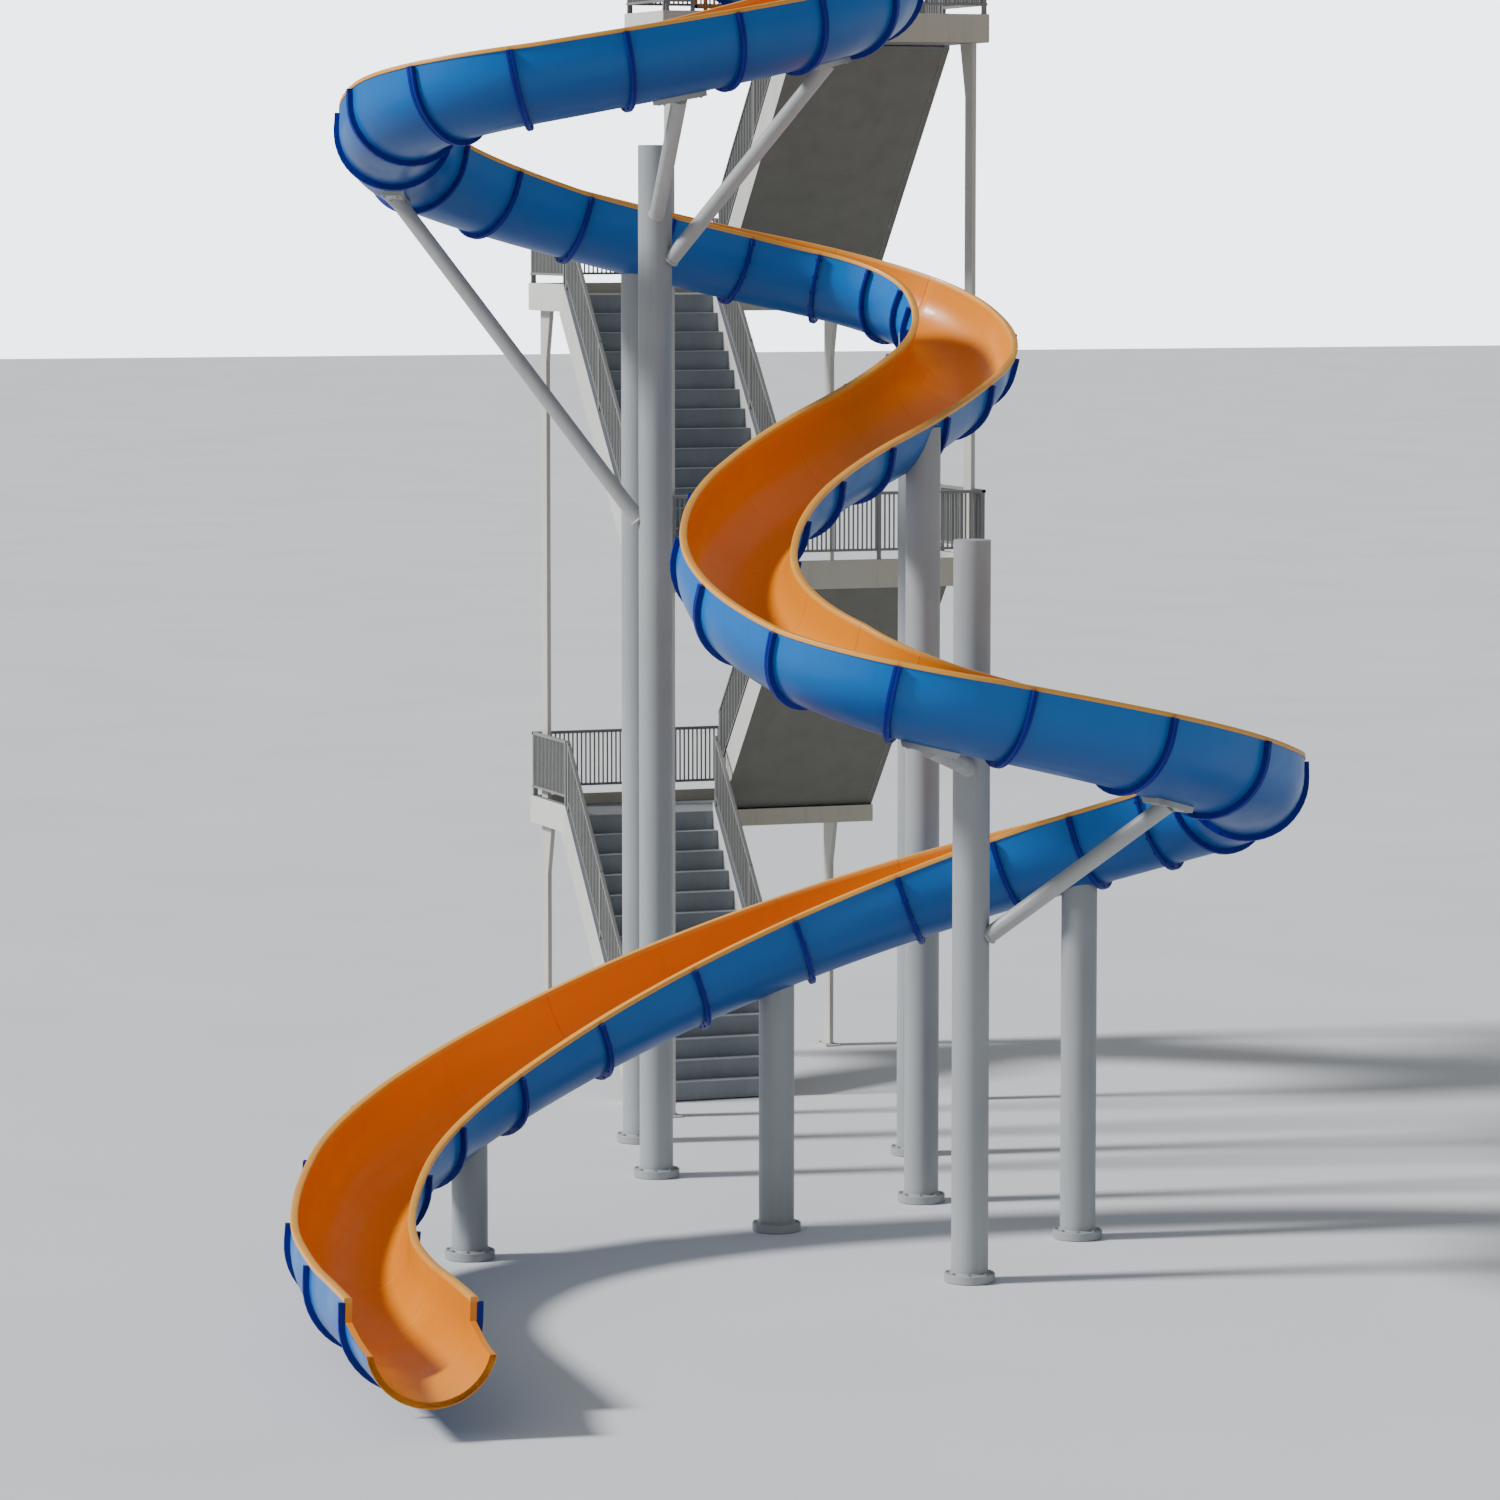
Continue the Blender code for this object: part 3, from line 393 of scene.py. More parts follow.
MATERIALS = {
    # Blue skin: painted shade darkens it gradually towards its underside.
    "skin": surface("skin_blue", (0.000, 0.165, 0.540), (0.000, 0.135, 0.470), 0.38, coat=0.06,
                    shine=0.28, patch=0.5, grain=35.0, bump=0.03,
                    streaks=0.10, dirt=(0.002, 0.050, 0.220),
                    painted_shade=(0.000, 0.060, 0.250), rounded_painted_shade=True),
    "bed": surface("bed_orange", (0.820, 0.265, 0.0005), (0.740, 0.225, 0.0005), 0.34, coat=0.08,
                   shine=0.35, patch=0.6, grain=30.0, bump=0.03,
                   streaks=0.03, dirt=(0.500, 0.140, 0.002)),
    "lip": surface("lip_tan", (0.800, 0.360, 0.045), (0.720, 0.310, 0.040), 0.42, coat=0.05,
                   patch=2.0, grain=60.0, bump=0.03),
    "flange": surface("flange_navy", (0.000, 0.012, 0.240), (0.000, 0.010, 0.200), 0.45, shine=0.2,
                      patch=3.0, grain=60.0, bump=0.03),
    "column": surface("column_grey", (0.330, 0.350, 0.360), (0.290, 0.310, 0.320), 0.48,
                      patch=0.7, grain=90.0, bump=0.05, streaks=0.22, dirt=(0.180, 0.175, 0.160)),
    "arm": surface("arm_grey", (0.370, 0.380, 0.375), (0.330, 0.340, 0.335), 0.45, patch=1.5,
                   grain=90.0, bump=0.05, streaks=0.2, dirt=(0.200, 0.190, 0.170)),
    # Tower cream: painted shade on undersides, painted light on sideways faces as a lighter copy of
    # the cream; tops keep their own grey.
    "tower": surface("tower_cream", (0.500, 0.470, 0.380), (0.460, 0.430, 0.350), 0.60, patch=0.8,
                     grain=120.0, bump=0.06, streaks=0.22, dirt=(0.250, 0.220, 0.170),
                     painted_shade=(0.150, 0.145, 0.125), top=(0.200, 0.215, 0.230),
                     side=(0.620, 0.610, 0.560)),
    "post": surface("post_cream", (0.540, 0.530, 0.480), (0.490, 0.480, 0.435), 0.55, patch=0.8,
                    grain=120.0, bump=0.05, streaks=0.22, dirt=(0.280, 0.250, 0.200)),
    # Stair: painted shade on soffits; the light side colour is the stringers' own cream, lifted by
    # painted light on faces that look sideways.
    "stair": surface("stair_grey", (0.220, 0.245, 0.270), (0.190, 0.212, 0.235), 0.72, patch=1.2,
                     grain=260.0, bump=0.25, streaks=0.15, dirt=(0.090, 0.085, 0.080),
                     painted_shade=(0.150, 0.145, 0.125), side=(0.560, 0.560, 0.530)),
    "nosing": surface("nosing_light", (0.300, 0.320, 0.340), (0.260, 0.280, 0.300), 0.60, patch=4.0,
                      grain=300.0, bump=0.3),
    "rail": surface("rail_beige", (0.210, 0.212, 0.205), (0.180, 0.182, 0.176), 0.45, patch=2.0,
                    grain=140.0, bump=0.04, streaks=0.15),
    "steel": surface("steel_brushed", (0.560, 0.570, 0.580), (0.500, 0.510, 0.520), 0.26,
                     metallic=1.0, patch=5.0, grain=400.0, bump=0.05),
    "bolt": surface("bolt_zinc", (0.420, 0.430, 0.440), (0.330, 0.340, 0.350), 0.38, metallic=0.9,
                    patch=20.0, grain=300.0, bump=0.05),
    "gate": surface("gate_orange", (0.620, 0.190, 0.012), (0.560, 0.165, 0.012), 0.40, patch=3.0,
                    grain=120.0, bump=0.04),
    "lever": surface("lever_red", (0.480, 0.020, 0.015), (0.420, 0.018, 0.014), 0.38, patch=8.0,
                     grain=120.0, bump=0.04),
    "rubber": surface("grip_black", (0.018, 0.018, 0.020), (0.028, 0.028, 0.030), 0.80, patch=8.0,
                      grain=300.0, bump=0.2),
    "floor": surface("studio_floor", (0.700, 0.710, 0.720), (0.680, 0.690, 0.700), 0.75, patch=0.08,
                     grain=8.0, bump=0.01),
}


# ---------------------------------------------------------------- mesh building
def spokes(side, other, radius, facets):
    """Offsets from an axis to the points of a circle round it."""
    turns = [2.0 * math.pi * k / facets for k in range(facets)]
    return [(side * math.cos(a) + other * math.sin(a)) * radius for a in turns]


class Shape:
    """Vertices and faces of one piece, gathered from simple closed forms."""

    def __init__(self):
        self.verts = []
        self.faces = []

    def add(self, verts, faces):
        start = len(self.verts)
        self.verts += [tuple(v) for v in verts]
        self.faces += [tuple(start + i for i in face) for face in faces]

    def sweep(self, rings):
        """Closed skin through rings of equal point count, capped at both ends."""
        count = len(rings[0])
        faces = [tuple(range(count))[::-1]]
        for r in range(len(rings) - 1):
            a = r * count
            b = a + count
            for i in range(count):
                j = (i + 1) % count
                faces.append((a + i, a + j, b + j, b + i))
        last = (len(rings) - 1) * count
        faces.append(tuple(range(last, last + count)))
        self.add([p for ring in rings for p in ring], faces)

    def turned(self, base, axis, outline, facets=24):
        """Body of revolution: outline of (radius, distance along the axis) from the base point."""
        axis = Vector(axis).normalized()
        side = axis.orthogonal().normalized()
        other = axis.cross(side)
        rings = []
        for radius, along in outline:
            centre = Vector(base) + axis * along
            rings.append([centre + offset for offset in spokes(side, other, radius, facets)])
        self.sweep(rings)

    def bolt(self, at, axis, radius=0.011, height=0.008):
        """Hexagon head on a washer, standing on a surface."""
        washer = radius * WASHER_SCALE
        self.turned(at, axis, ((washer, 0.0), (washer, height * 0.25)), 12)
        head = ((radius, height * 0.2), (radius, height * 0.9), (radius * 0.85, height))
        self.turned(at, axis, head, 6)

    def bevelled_box(self, centre, half, turn=None, edge=0.003):
        """Box with cut edges; half holds the three half sizes."""
        turn = turn or Matrix.Identity(3)
        hx, hy, hz = half
        edge = min(edge, hx * 0.4, hy * 0.4, hz * 0.4)
        rings = []
        for x, inset in ((-hx, edge), (-hx + edge, 0.0), (hx - edge, 0.0), (hx, edge)):
            y = hy - inset
            z = hz - inset
            loop = ((y, -z + edge), (y, z - edge), (y - edge, z), (-y + edge, z),
                    (-y, z - edge), (-y, -z + edge), (-y + edge, -z), (y - edge, -z))
            rings.append([Vector(centre) + turn @ Vector((x, u, w)) for u, w in loop])
        self.sweep(rings)

    def tube(self, points, radius, facets=24):
        """Round tube through the points, mitred at the corners."""
        pts = [Vector(p) for p in points]
        rings = []
        side = (pts[1] - pts[0]).normalized().orthogonal().normalized()
        for i, p in enumerate(pts):
            into = (p - pts[i - 1]).normalized() if i > 0 else (pts[1] - pts[0]).normalized()
            out = (pts[i + 1] - p).normalized() if i < len(pts) - 1 else into
            plane = (into + out).normalized()
            side = (side - into * side.dot(into)).normalized()
            offsets = spokes(side, into.cross(side), radius, facets)
            rings.append([p + o - into * (o.dot(plane) / into.dot(plane)) for o in offsets])
        self.sweep(rings)

    def bar(self, a, b, width, height):
        """Bar with cut corners between two points, upright sides, ends cut plumb."""
        a = Vector(a)
        b = Vector(b)
        along = Vector((b.x - a.x, b.y - a.y, 0.0)).normalized()
        left = Vector((-along.y, along.x, 0.0)) * (width / 2.0)
        up = Vector((0.0, 0.0, height / 2.0))
        cut = BAR_CORNER_CUT
        loop = ((1, -1 + cut), (1, 1 - cut), (1 - cut, 1), (-1 + cut, 1),
                (-1, 1 - cut), (-1, -1 + cut), (-1 + cut, -1), (1 - cut, -1))
        self.sweep([[p + left * u + up * w for u, w in loop] for p in (a, b)])

    def post(self, x, y, z0, z1, size):
        """Upright square bar."""
        h = size / 2.0
        loop = ((h, -h), (h, h), (-h, h), (-h, -h))
        self.sweep([[(x + u, y + v, z) for u, v in loop] for z in (z0, z1)])

    def make(self, name, material, body="slide", replaces=(), smooth=32.0):
        """Turn the gathered faces into a piece that rides on a body."""
        mesh = bpy.data.meshes.new(name)
        mesh.from_pydata(self.verts, [], self.faces)
        mesh.validate()
        mesh.shade_smooth()
        mesh.set_sharp_from_angle(angle=math.radians(smooth))
        obj = bpy.data.objects.new(name, mesh)
        bpy.context.scene.collection.objects.link(obj)
        mesh.materials.append(MATERIALS[material])
        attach(obj, body)
        if replaces:
            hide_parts(*replaces)
        return obj


# ---------------------------------------------------------------- flume path
class FlumePath:
    """Rim-centre line integrated from the stretches."""

    def __init__(self):
        self.marks = [0.0]
        self.headings = [math.radians(START_HEADING)]
        self.slopes = []
        self.lifts = []
        for length, turn, slope, lift in STRETCHES:
            self.marks.append(self.marks[-1] + length)
            self.headings.append(self.headings[-1] + math.radians(turn))
            self.slopes.append(slope)
            self.lifts.append(lift)
        self.slopes.append(FINAL_SLOPE)
        self.lifts.append(FINAL_LIFT)
        self.points = [Vector(START)]
        for n in range(int(math.ceil((self.marks[-1] + EXIT_LENGTH) / PATH_STEP))):
            s = (n + 0.5) * PATH_STEP
            h = self.table(self.headings, s)
            slope = self.table(self.slopes, min(s, self.marks[-1]))
            move = Vector((math.cos(h), math.sin(h), -slope)) * PATH_STEP
            self.points.append(self.points[-1] + move)

    def table(self, values, s):
        """Value at a distance along the path, carried on at the same rate past the end."""
        for i in range(len(self.marks) - 1):
            if s <= self.marks[i + 1] or i == len(self.marks) - 2:
                f = (s - self.marks[i]) / (self.marks[i + 1] - self.marks[i])
                return values[i] + (values[i + 1] - values[i]) * f

    def centre(self, s):
        n = min(int(s / PATH_STEP), len(self.points) - 2)
        return self.points[n].lerp(self.points[n + 1], s / PATH_STEP - n)

    def axes(self, s):
        """Direction of travel, level direction to the left, and square to both."""
        h = self.table(self.headings, s)
        dip = math.atan(self.table(self.slopes, min(s, self.marks[-1])))
        travel = Vector((math.cos(h) * math.cos(dip), math.sin(h) * math.cos(dip), -math.sin(dip)))
        level = Vector((-math.sin(h), math.cos(h), 0.0))
        return travel, level, travel.cross(level)

    def frame(self, s):
        """Rim centre, direction to the left rim and direction out of the channel."""
        level, upright = self.axes(s)[1:]
        roll = math.asin(self.table(self.lifts, min(s, self.marks[-1])) / RIM_HALF_WIDTH)
        left = level * math.cos(roll) + upright * math.sin(roll)
        return self.centre(s), left, upright * math.cos(roll) - level * math.sin(roll)

    def place(self, s, u, w):
        c, left, up = self.frame(s)
        return c + left * u + up * w

    def ring(self, s, outline):
        c, left, up = self.frame(s)
        return [c + left * u + up * w for u, w in outline]


path = FlumePath()


def arc(radius, first=0.0, steps=ARC_STEPS):
    """Points round the underside of the channel from the left side to the right side."""
    points = []
    for k in range(steps + 1):
        a = first + (math.pi - 2.0 * first) * k / steps
        points.append((radius * math.cos(a), HUB - radius * math.sin(a)))
    return points


def mirrored(points):
    return [(-u, w) for u, w in reversed(points)]


def lip_outline():
    """Rolled rim of one wall, on the left side."""
    r = LIP_ROUND
    cut = LIP_CHAMFER * r
    out = RIM_HALF_WIDTH
    inner = BED_RADIUS
    low = -RIM_HEIGHT
    lip = [(inner, low), (out - cut, low), (out, low + cut), (out, -r), (out - cut, -cut)]
    return lip + [(out - r, 0.0), (inner + r, 0.0), (inner + cut, -cut), (inner, -r)]


def shell_outline(inner, outer, top):
    """Closed outline of a U-shaped wall between two radii."""
    outside = [(outer, top)] + arc(outer) + [(-outer, top)]
    return outside + [(-inner, top)] + arc(inner)[::-1] + [(inner, top)]


def joint_marks():
    """Distances of the joints between the moulded sections."""
    marks = [PATH_BEGIN]
    for count, length in SECTION_RUNS:
        for n in range(count):
            marks.append(marks[-1] + length)
    return marks


def even(s0, s1, step):
    count = max(1, math.ceil((s1 - s0) / step))
    return [s0 + (s1 - s0) * k / count for k in range(count + 1)]


def piece_groups():
    """Joint distances of each piece, first and last joint included."""
    marks = joint_marks()
    groups = []
    start = 0
    while start < len(marks) - 1:
        end = min(start + SECTIONS_PER_PIECE, len(marks) - 1)
        groups.append(marks[start:end + 1])
        start = end
    return groups


def flange(shape, bolts, s):
    """Two navy half flanges with the joint line between them, and their bolts."""
    low = SKIN_HALF_WIDTH - FLANGE_LAP
    high = SKIN_HALF_WIDTH + FLANGE_PROUD
    half = FLANGE_WIDTH / 2.0
    before = ((-half, high - FLANGE_EDGE), (-half + FLANGE_EDGE, high), (-JOINT_LINE_TOP, high),
              (-JOINT_LINE_BOTTOM, high - JOINT_LINE_DEPTH))
    stations = before + tuple((-ds, r) for ds, r in reversed(before))
    top = -RIM_HEIGHT - FLANGE_BELOW_RIM
    shape.sweep([path.ring(s + ds, shell_outline(low, r, top)) for ds, r in stations])
    travel = path.axes(s)[0]
    mid = SKIN_HALF_WIDTH + FLANGE_BOLT_AT * FLANGE_PROUD
    spots = [(mid, FLANGE_TOP_BOLT), (-mid, FLANGE_TOP_BOLT)]
    for k in range(FLANGE_BOLTS):
        a = math.pi * (k + 0.5) / FLANGE_BOLTS
        spots.append((mid * math.cos(a), HUB - mid * math.sin(a)))
    for u, w in spots:
        centre = path.place(s, u, w)
        for way in (travel, -travel):
            bolts.bolt(centre + way * half, way, FLANGE_BOLT_RADIUS, FLANGE_BOLT_HEIGHT)


def build_flume():
    """Start tub and flume pieces; returns the beds and skins that columns reach up to."""
    skins = []
    for n, marks in enumerate(piece_groups()):
        name = "start_tub" if n == 0 else "flume_%02d" % n
        bed = Shape()
        lips = Shape()
        skin = Shape()
        flanges = Shape()
        bolts = Shape()
        plain = shell_outline(BED_RADIUS, SEAM_RADIUS, -RIM_HEIGHT)
        deep = shell_outline(BED_RADIUS + GROOVE_DEPTH, SEAM_RADIUS, -RIM_HEIGHT)
        rings = []
        for i in range(len(marks) - 1):
            a = marks[i] + GROOVE_HALF
            b = marks[i + 1] - GROOVE_HALF
            rings.append(path.ring(marks[i] + (GAP if i == 0 else SEAM_HALF), deep))
            rings += [path.ring(s, plain) for s in even(a, b, STATION_STEP)]
            rings.append(path.ring(marks[i + 1] - SEAM_HALF, deep))
            stations = even(marks[i] + SEAM_HALF, marks[i + 1] - SEAM_HALF, STATION_STEP)
            for side in (lip_outline(), mirrored(lip_outline())):
                lips.sweep([path.ring(s, side) for s in stations])
        bed.sweep(rings)
        wall = shell_outline(SEAM_RADIUS, SKIN_HALF_WIDTH, -RIM_HEIGHT)
        stations = even(marks[0] + GAP, marks[-1] - GAP, STATION_STEP)
        skin.sweep([path.ring(s, wall) for s in stations])
        for s in marks[:-1] if n else marks[1:-1]:
            flange(flanges, bolts, s)
        if n == 0:
            end_collar(flanges)
        bed_obj = bed.make(name + "_bed", "bed", replaces=(name,))
        lips.make(name + "_lips", "lip")
        skin_obj = skin.make(name + "_skin", "skin")
        flanges.make(name + "_flanges", "flange")
        bolts.make(name + "_bolts", "flange")
        skins += [bed_obj, skin_obj]
    return skins


def end_collar(shape):
    """Half flange that closes the tub against the platform edge."""
    low = SKIN_HALF_WIDTH - FLANGE_LAP
    high = SKIN_HALF_WIDTH + FLANGE_PROUD
    outline = shell_outline(low, high, -RIM_HEIGHT - FLANGE_BELOW_RIM)
    shape.sweep([path.ring(PATH_BEGIN + ds, outline) for ds in (GAP, FLANGE_WIDTH / 2.0)])


def build_exit():
    """Last moulding: walls cut down in a hollow curve, orange end face."""
    begin = joint_marks()[-1]
    full = begin + FLANGE_WIDTH / 2.0
    end = full + EXIT_LENGTH
    flanges = Shape()
    bolts = Shape()
    flange(flanges, bolts, begin)
    bed = Shape()
    skin = Shape()
    stub = Shape()
    for side in (lip_outline(), mirrored(lip_outline())):
        stub.sweep([path.ring(s, side) for s in (begin + SEAM_HALF, full)])
    stub.make("flume_exit_lips", "lip")
    collar = Shape()
    wall = shell_outline(BED_RADIUS, SKIN_HALF_WIDTH, -RIM_HEIGHT)
    collar.sweep([path.ring(s, wall) for s in (begin + SEAM_HALF, full)])
    collar.make("flume_exit_collar", "bed")
    bed_rings = []
    skin_rings = []
    lip = EXIT_EDGE
    seam = SKIN_HALF_WIDTH - lip
    for s in even(full, end, EXIT_STATION_STEP):
        f = (s - full) / EXIT_LENGTH
        drop = EXIT_DROP + (EXIT_END_DROP - EXIT_DROP) * math.sin(0.5 * math.pi * f)
        bed_rings.append(path.ring(s, cut_outline(BED_RADIUS, seam, drop)))
        cut = cut_outline(seam, SKIN_HALF_WIDTH, drop + lip)
        skin_rings.append(path.ring(min(s, end - lip), cut))
    last = cut_outline(BED_RADIUS, SKIN_HALF_WIDTH, EXIT_END_DROP)
    bed.sweep(bed_rings)
    bed.sweep([path.ring(s, last) for s in (end - lip, end)])
    skin.sweep(skin_rings)
    bed.make("flume_exit_bed", "bed", replaces=("flume_exit",))
    skin.make("flume_exit_skin", "skin")
    flanges.make("flume_exit_flange", "flange")
    bolts.make("flume_exit_bolts", "flange")


def cut_outline(inner, outer, drop):
    """Closed outline of a wall cut off level at a depth below the rim."""
    deep = drop + HUB
    return arc(outer, math.asin(deep / outer)) + arc(inner, math.asin(deep / inner))[::-1]


# ---------------------------------------------------------------- columns and arms
def build_columns(skins):
    """Round columns: free ones with a flat cap, carrying ones cut to the flume above."""
    trees = [BVHTree.FromObject(o, bpy.context.evaluated_depsgraph_get()) for o in skins]
    for name, x, y, top, near in COLUMNS:
        shaft = Shape()
        disc = ((COLUMN_DISC_RADIUS - DISC_EDGE, 0.0), (COLUMN_DISC_RADIUS, DISC_EDGE),
                (COLUMN_DISC_RADIUS, COLUMN_DISC_HEIGHT - DISC_EDGE),
                (COLUMN_DISC_RADIUS - DISC_EDGE, COLUMN_DISC_HEIGHT),
                (COLUMN_RADIUS - COLUMN_INSET, COLUMN_DISC_HEIGHT))
        shaft.turned((x, y, 0.0), UP, disc, ROUND_FACETS)
        weld = [(COLUMN_RADIUS + out, COLUMN_DISC_HEIGHT + above) for out, above in WELD_OUTLINE]
        shaft.turned((x, y, 0.0), UP, weld, ROUND_FACETS)
        rings = [[], []]
        for k in range(ROUND_FACETS):
            a = 2.0 * math.pi * k / ROUND_FACETS
            px = x + COLUMN_RADIUS * math.cos(a)
            py = y + COLUMN_RADIUS * math.sin(a)
            rings[0].append((px, py, COLUMN_DISC_HEIGHT - COLUMN_INSET))
            rings[1].append((px, py, top if near is None else underside(trees, px, py, near)))
        shaft.sweep(rings)
        if near is None:
            cap = [(COLUMN_RADIUS + out, above) for out, above in CAP_OUTLINE]
            shaft.turned((x, y, top), UP, cap, ROUND_FACETS)
        shaft.make(name + "_shaft", "column", replaces=(name,))
        bolts = Shape()
        r = 0.5 * (COLUMN_RADIUS + COLUMN_DISC_RADIUS) + DISC_BOLT_OUT
        for k in range(DISC_BOLTS):
            a = 2.0 * math.pi * (k + 0.5) / DISC_BOLTS
            spot = (x + r * math.cos(a), y + r * math.sin(a), COLUMN_DISC_HEIGHT)
            bolts.bolt(spot, UP, DISC_BOLT_RADIUS, DISC_BOLT_HEIGHT)
        bolts.make(name + "_bolts", "bolt")


def underside(trees, x, y, near):
    """Height of the first flume surface above a point, kept below the carried run's rim."""
    rim = path.centre(near).z
    start = Vector((x, y, rim - FLUME_DEPTH - PROBE_BELOW))
    hits = [tree.ray_cast(start, Vector(UP), PROBE_REACH)[0] for tree in trees]
    heights = [h.z for h in hits if h is not None]
    return min(heights + [rim - COLUMN_LAP]) - SADDLE_GAP


def build_arms():
    """Inclined tubes from the columns to saddle plates under the flume."""
    for name, column, height, s in ARMS:
        cx, cy = COLUMNS[column][1:3]
        travel, level, normal = path.axes(s)
        hub = path.place(s, 0.0, HUB)
        plate_top = hub - normal * (SKIN_HALF_WIDTH - SADDLE_CUP)
        centre = plate_top - normal * (SADDLE_THICKNESS / 2.0)
        root = Vector((cx, cy, height))
        along = (centre - root).normalized()
        flat = Vector((along.x, along.y, 0.0)).length
        start = root + along * ((COLUMN_RADIUS - COLUMN_INSET) / flat)
        arm = Shape()
        arm.tube((start, centre), ARM_RADIUS, ARM_FACETS)
        plate(arm, s, hub, travel, normal)
        weld = [(ARM_RADIUS + out, beyond) for out, beyond in ARM_WELD_OUTLINE]
        arm.turned(start, along, weld, ARM_FACETS)
        arm.make(name + "_tube", "arm", replaces=(name,))
        bolts = Shape()
        for sx, sy in CORNERS:
            spot = centre + travel * (sx * SADDLE_BOLT_ALONG) + level * (sy * SADDLE_BOLT_ACROSS)
            bolts.bolt(spot - normal * (SADDLE_THICKNESS / 2.0), -normal,
                       SADDLE_BOLT_RADIUS, SADDLE_BOLT_HEIGHT)
        bolts.make(name + "_bolts", "bolt")


def plate(shape, s, hub, travel, normal):
    """Saddle plate: flat below, hollowed above to the flume's skin."""
    level = normal.cross(travel)
    radius = SKIN_HALF_WIDTH + SADDLE_GAP
    bottom = SKIN_HALF_WIDTH - SADDLE_CUP + SADDLE_THICKNESS
    half = SADDLE_WIDTH / 2.0
    rings = []
    for k in range(SADDLE_STEPS + 1):
        x = SADDLE_LENGTH * (k / SADDLE_STEPS - 0.5)
        centre = path.place(s + x, 0.0, HUB)
        here_level, here_normal = path.axes(s + x)[1:]
        ring = []
        for i in range(SADDLE_STEPS + 1):
            v = -half + SADDLE_WIDTH * i / SADDLE_STEPS
            ring.append(centre + here_level * v - here_normal * math.sqrt(radius * radius - v * v))
        for v in (half, -half):
            ring.append(hub + travel * x + level * v - normal * bottom)
        rings.append(ring)
    shape.sweep(rings)


# ---------------------------------------------------------------- stair tower
def dress_frame_nodes():
    """Frame nodes shown as they are, with softened edges and procedural paint; the tower and stair
    paint carries painted shade underneath and painted light on sideways faces.
    """
    kinds = [("post_" + word, "post", "post_paint") for word, sx, sy in POSTS]
    kinds += [("landing_" + word, "tower", "tower_paint") for word, level, side in LANDINGS]
    kinds.append(("start_platform", "tower", "tower_paint"))
    kinds += [("flight_%d" % (n + 1), "stair", "stair_paint") for n in range(len(FLIGHTS))]
    for name, material, slot in kinds:
        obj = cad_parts[name]
        obj.data.materials.clear()
        obj.data.materials.append(MATERIALS[material])
        bevel = obj.modifiers.new("edges", "BEVEL")
        bevel.width = EDGE_SOFTENING
        bevel.segments = 2
        bevel.limit_method = "ANGLE"
        bevel.angle_limit = math.radians(EDGE_ANGLE)


def build_nosings():
    """Light strips on the tread edges, and the top riser of each flight."""
    x0 = LANE_INNER_X + STRINGER_THICKNESS + NOSING_GAP
    x1 = LANE_OUTER_X - STRINGER_THICKNESS - NOSING_GAP
    half = (x1 - x0) / 2.0
    for n, (level, direction, lane) in enumerate(FLIGHTS):
        strips = Shape()
        mid = lane * (x0 + x1) / 2.0
        for k in range(1, RISERS):
            z = STOREY * level + k * RISE
            y = FLIGHT_FOOT_Y + (k - 1) * GOING + NOSING_SET_BACK
            strips.bevelled_box((mid, direction * (y + NOSING_MID), z - NOSING_SINK),
                                (half, NOSING_HALF_DEPTH, NOSING_HALF_HEIGHT), edge=NOSING_EDGE)
        strips.make("flight_%d_nosings" % (n + 1), "nosing")
        head = Shape()
        floor_z = STOREY * level + RISERS * RISE
        head.bevelled_box((mid, direction * (LANDING_INNER_Y - HEAD_RISER), floor_z - RISE / 2.0),
                          (half, HEAD_RISER / 2.0, RISE / 2.0 - HEAD_RISER), edge=HEAD_RISER_EDGE)
        head.make("flight_%d_head_riser" % (n + 1), "stair")


def build_post_feet():
    """Foot plate and four anchor bolts under each post."""
    for word, sx, sy in POSTS:
        foot = Shape()
        x = sx * POST_X
        y = sy * POST_MID_Y
        foot.bevelled_box((x, y, FOOT_HALF[2]), FOOT_HALF)
        foot.make("post_%s_foot" % word, "post")
        bolts = Shape()
        for bx, by in CORNERS:
            spot = (x + bx * FOOT_BOLT_X, y + by * FOOT_BOLT_Y, FOOT_TOP)
            bolts.bolt(spot, UP, FOOT_BOLT_RADIUS, FOOT_BOLT_HEIGHT)
        bolts.make("post_%s_bolts" % word, "bolt")


def railing(name, plan, base, bays, top):
    """Top rail, bottom rail, posts and close balusters along a plan polyline.

    base gives the height the posts stand on at a plan point, and bays the number of bays per side.
    """
    frame_bars = Shape()
    bars = Shape()
    rail_mid = top - RAIL_BAR / 2.0
    for i in range(len(plan) - 1):
        a = Vector(plan[i])
        b = Vector(plan[i + 1])
        length = (b - a).length
        along = (b - a) / length
        corner = along * (RAIL_THICKNESS / 2.0)
        ends = (a - corner if i else a, b + corner if i < len(plan) - 2 else b)
        for height, scale in ((rail_mid, 1.0), (RAIL_BOTTOM, BOTTOM_RAIL_SCALE)):
            low, high = [(p.x, p.y, base(p.x, p.y) + height) for p in ends]
            frame_bars.bar(low, high, RAIL_THICKNESS * scale, RAIL_BAR * scale)
        for n in range(bays[i] + 1):
            d = min(max(length * n / bays[i], RAIL_POST / 2.0), length - RAIL_POST / 2.0)
            p = a + along * d
            z = base(p.x, p.y)
            frame_bars.post(p.x, p.y, z + GAP, z + top - RAIL_POST_BELOW_TOP,
                            RAIL_POST * RAIL_POST_SCALE)
            frame_bars.post(p.x, p.y, z + GAP, z + RAIL_FOOT_HEIGHT, RAIL_POST)
        count = max(1, round(length / BALUSTER_PITCH))
        for n in range(1, count):
            p = a + along * (length * n / count)
            z = base(p.x, p.y)
            bars.post(p.x, p.y, z + RAIL_BOTTOM, z + rail_mid, BALUSTER)
    frame_bars.make(name + "_frame", "rail", replaces=(name,), smooth=CRISP_ANGLE)
    bars.make(name + "_balusters", "rail", smooth=CRISP_ANGLE)


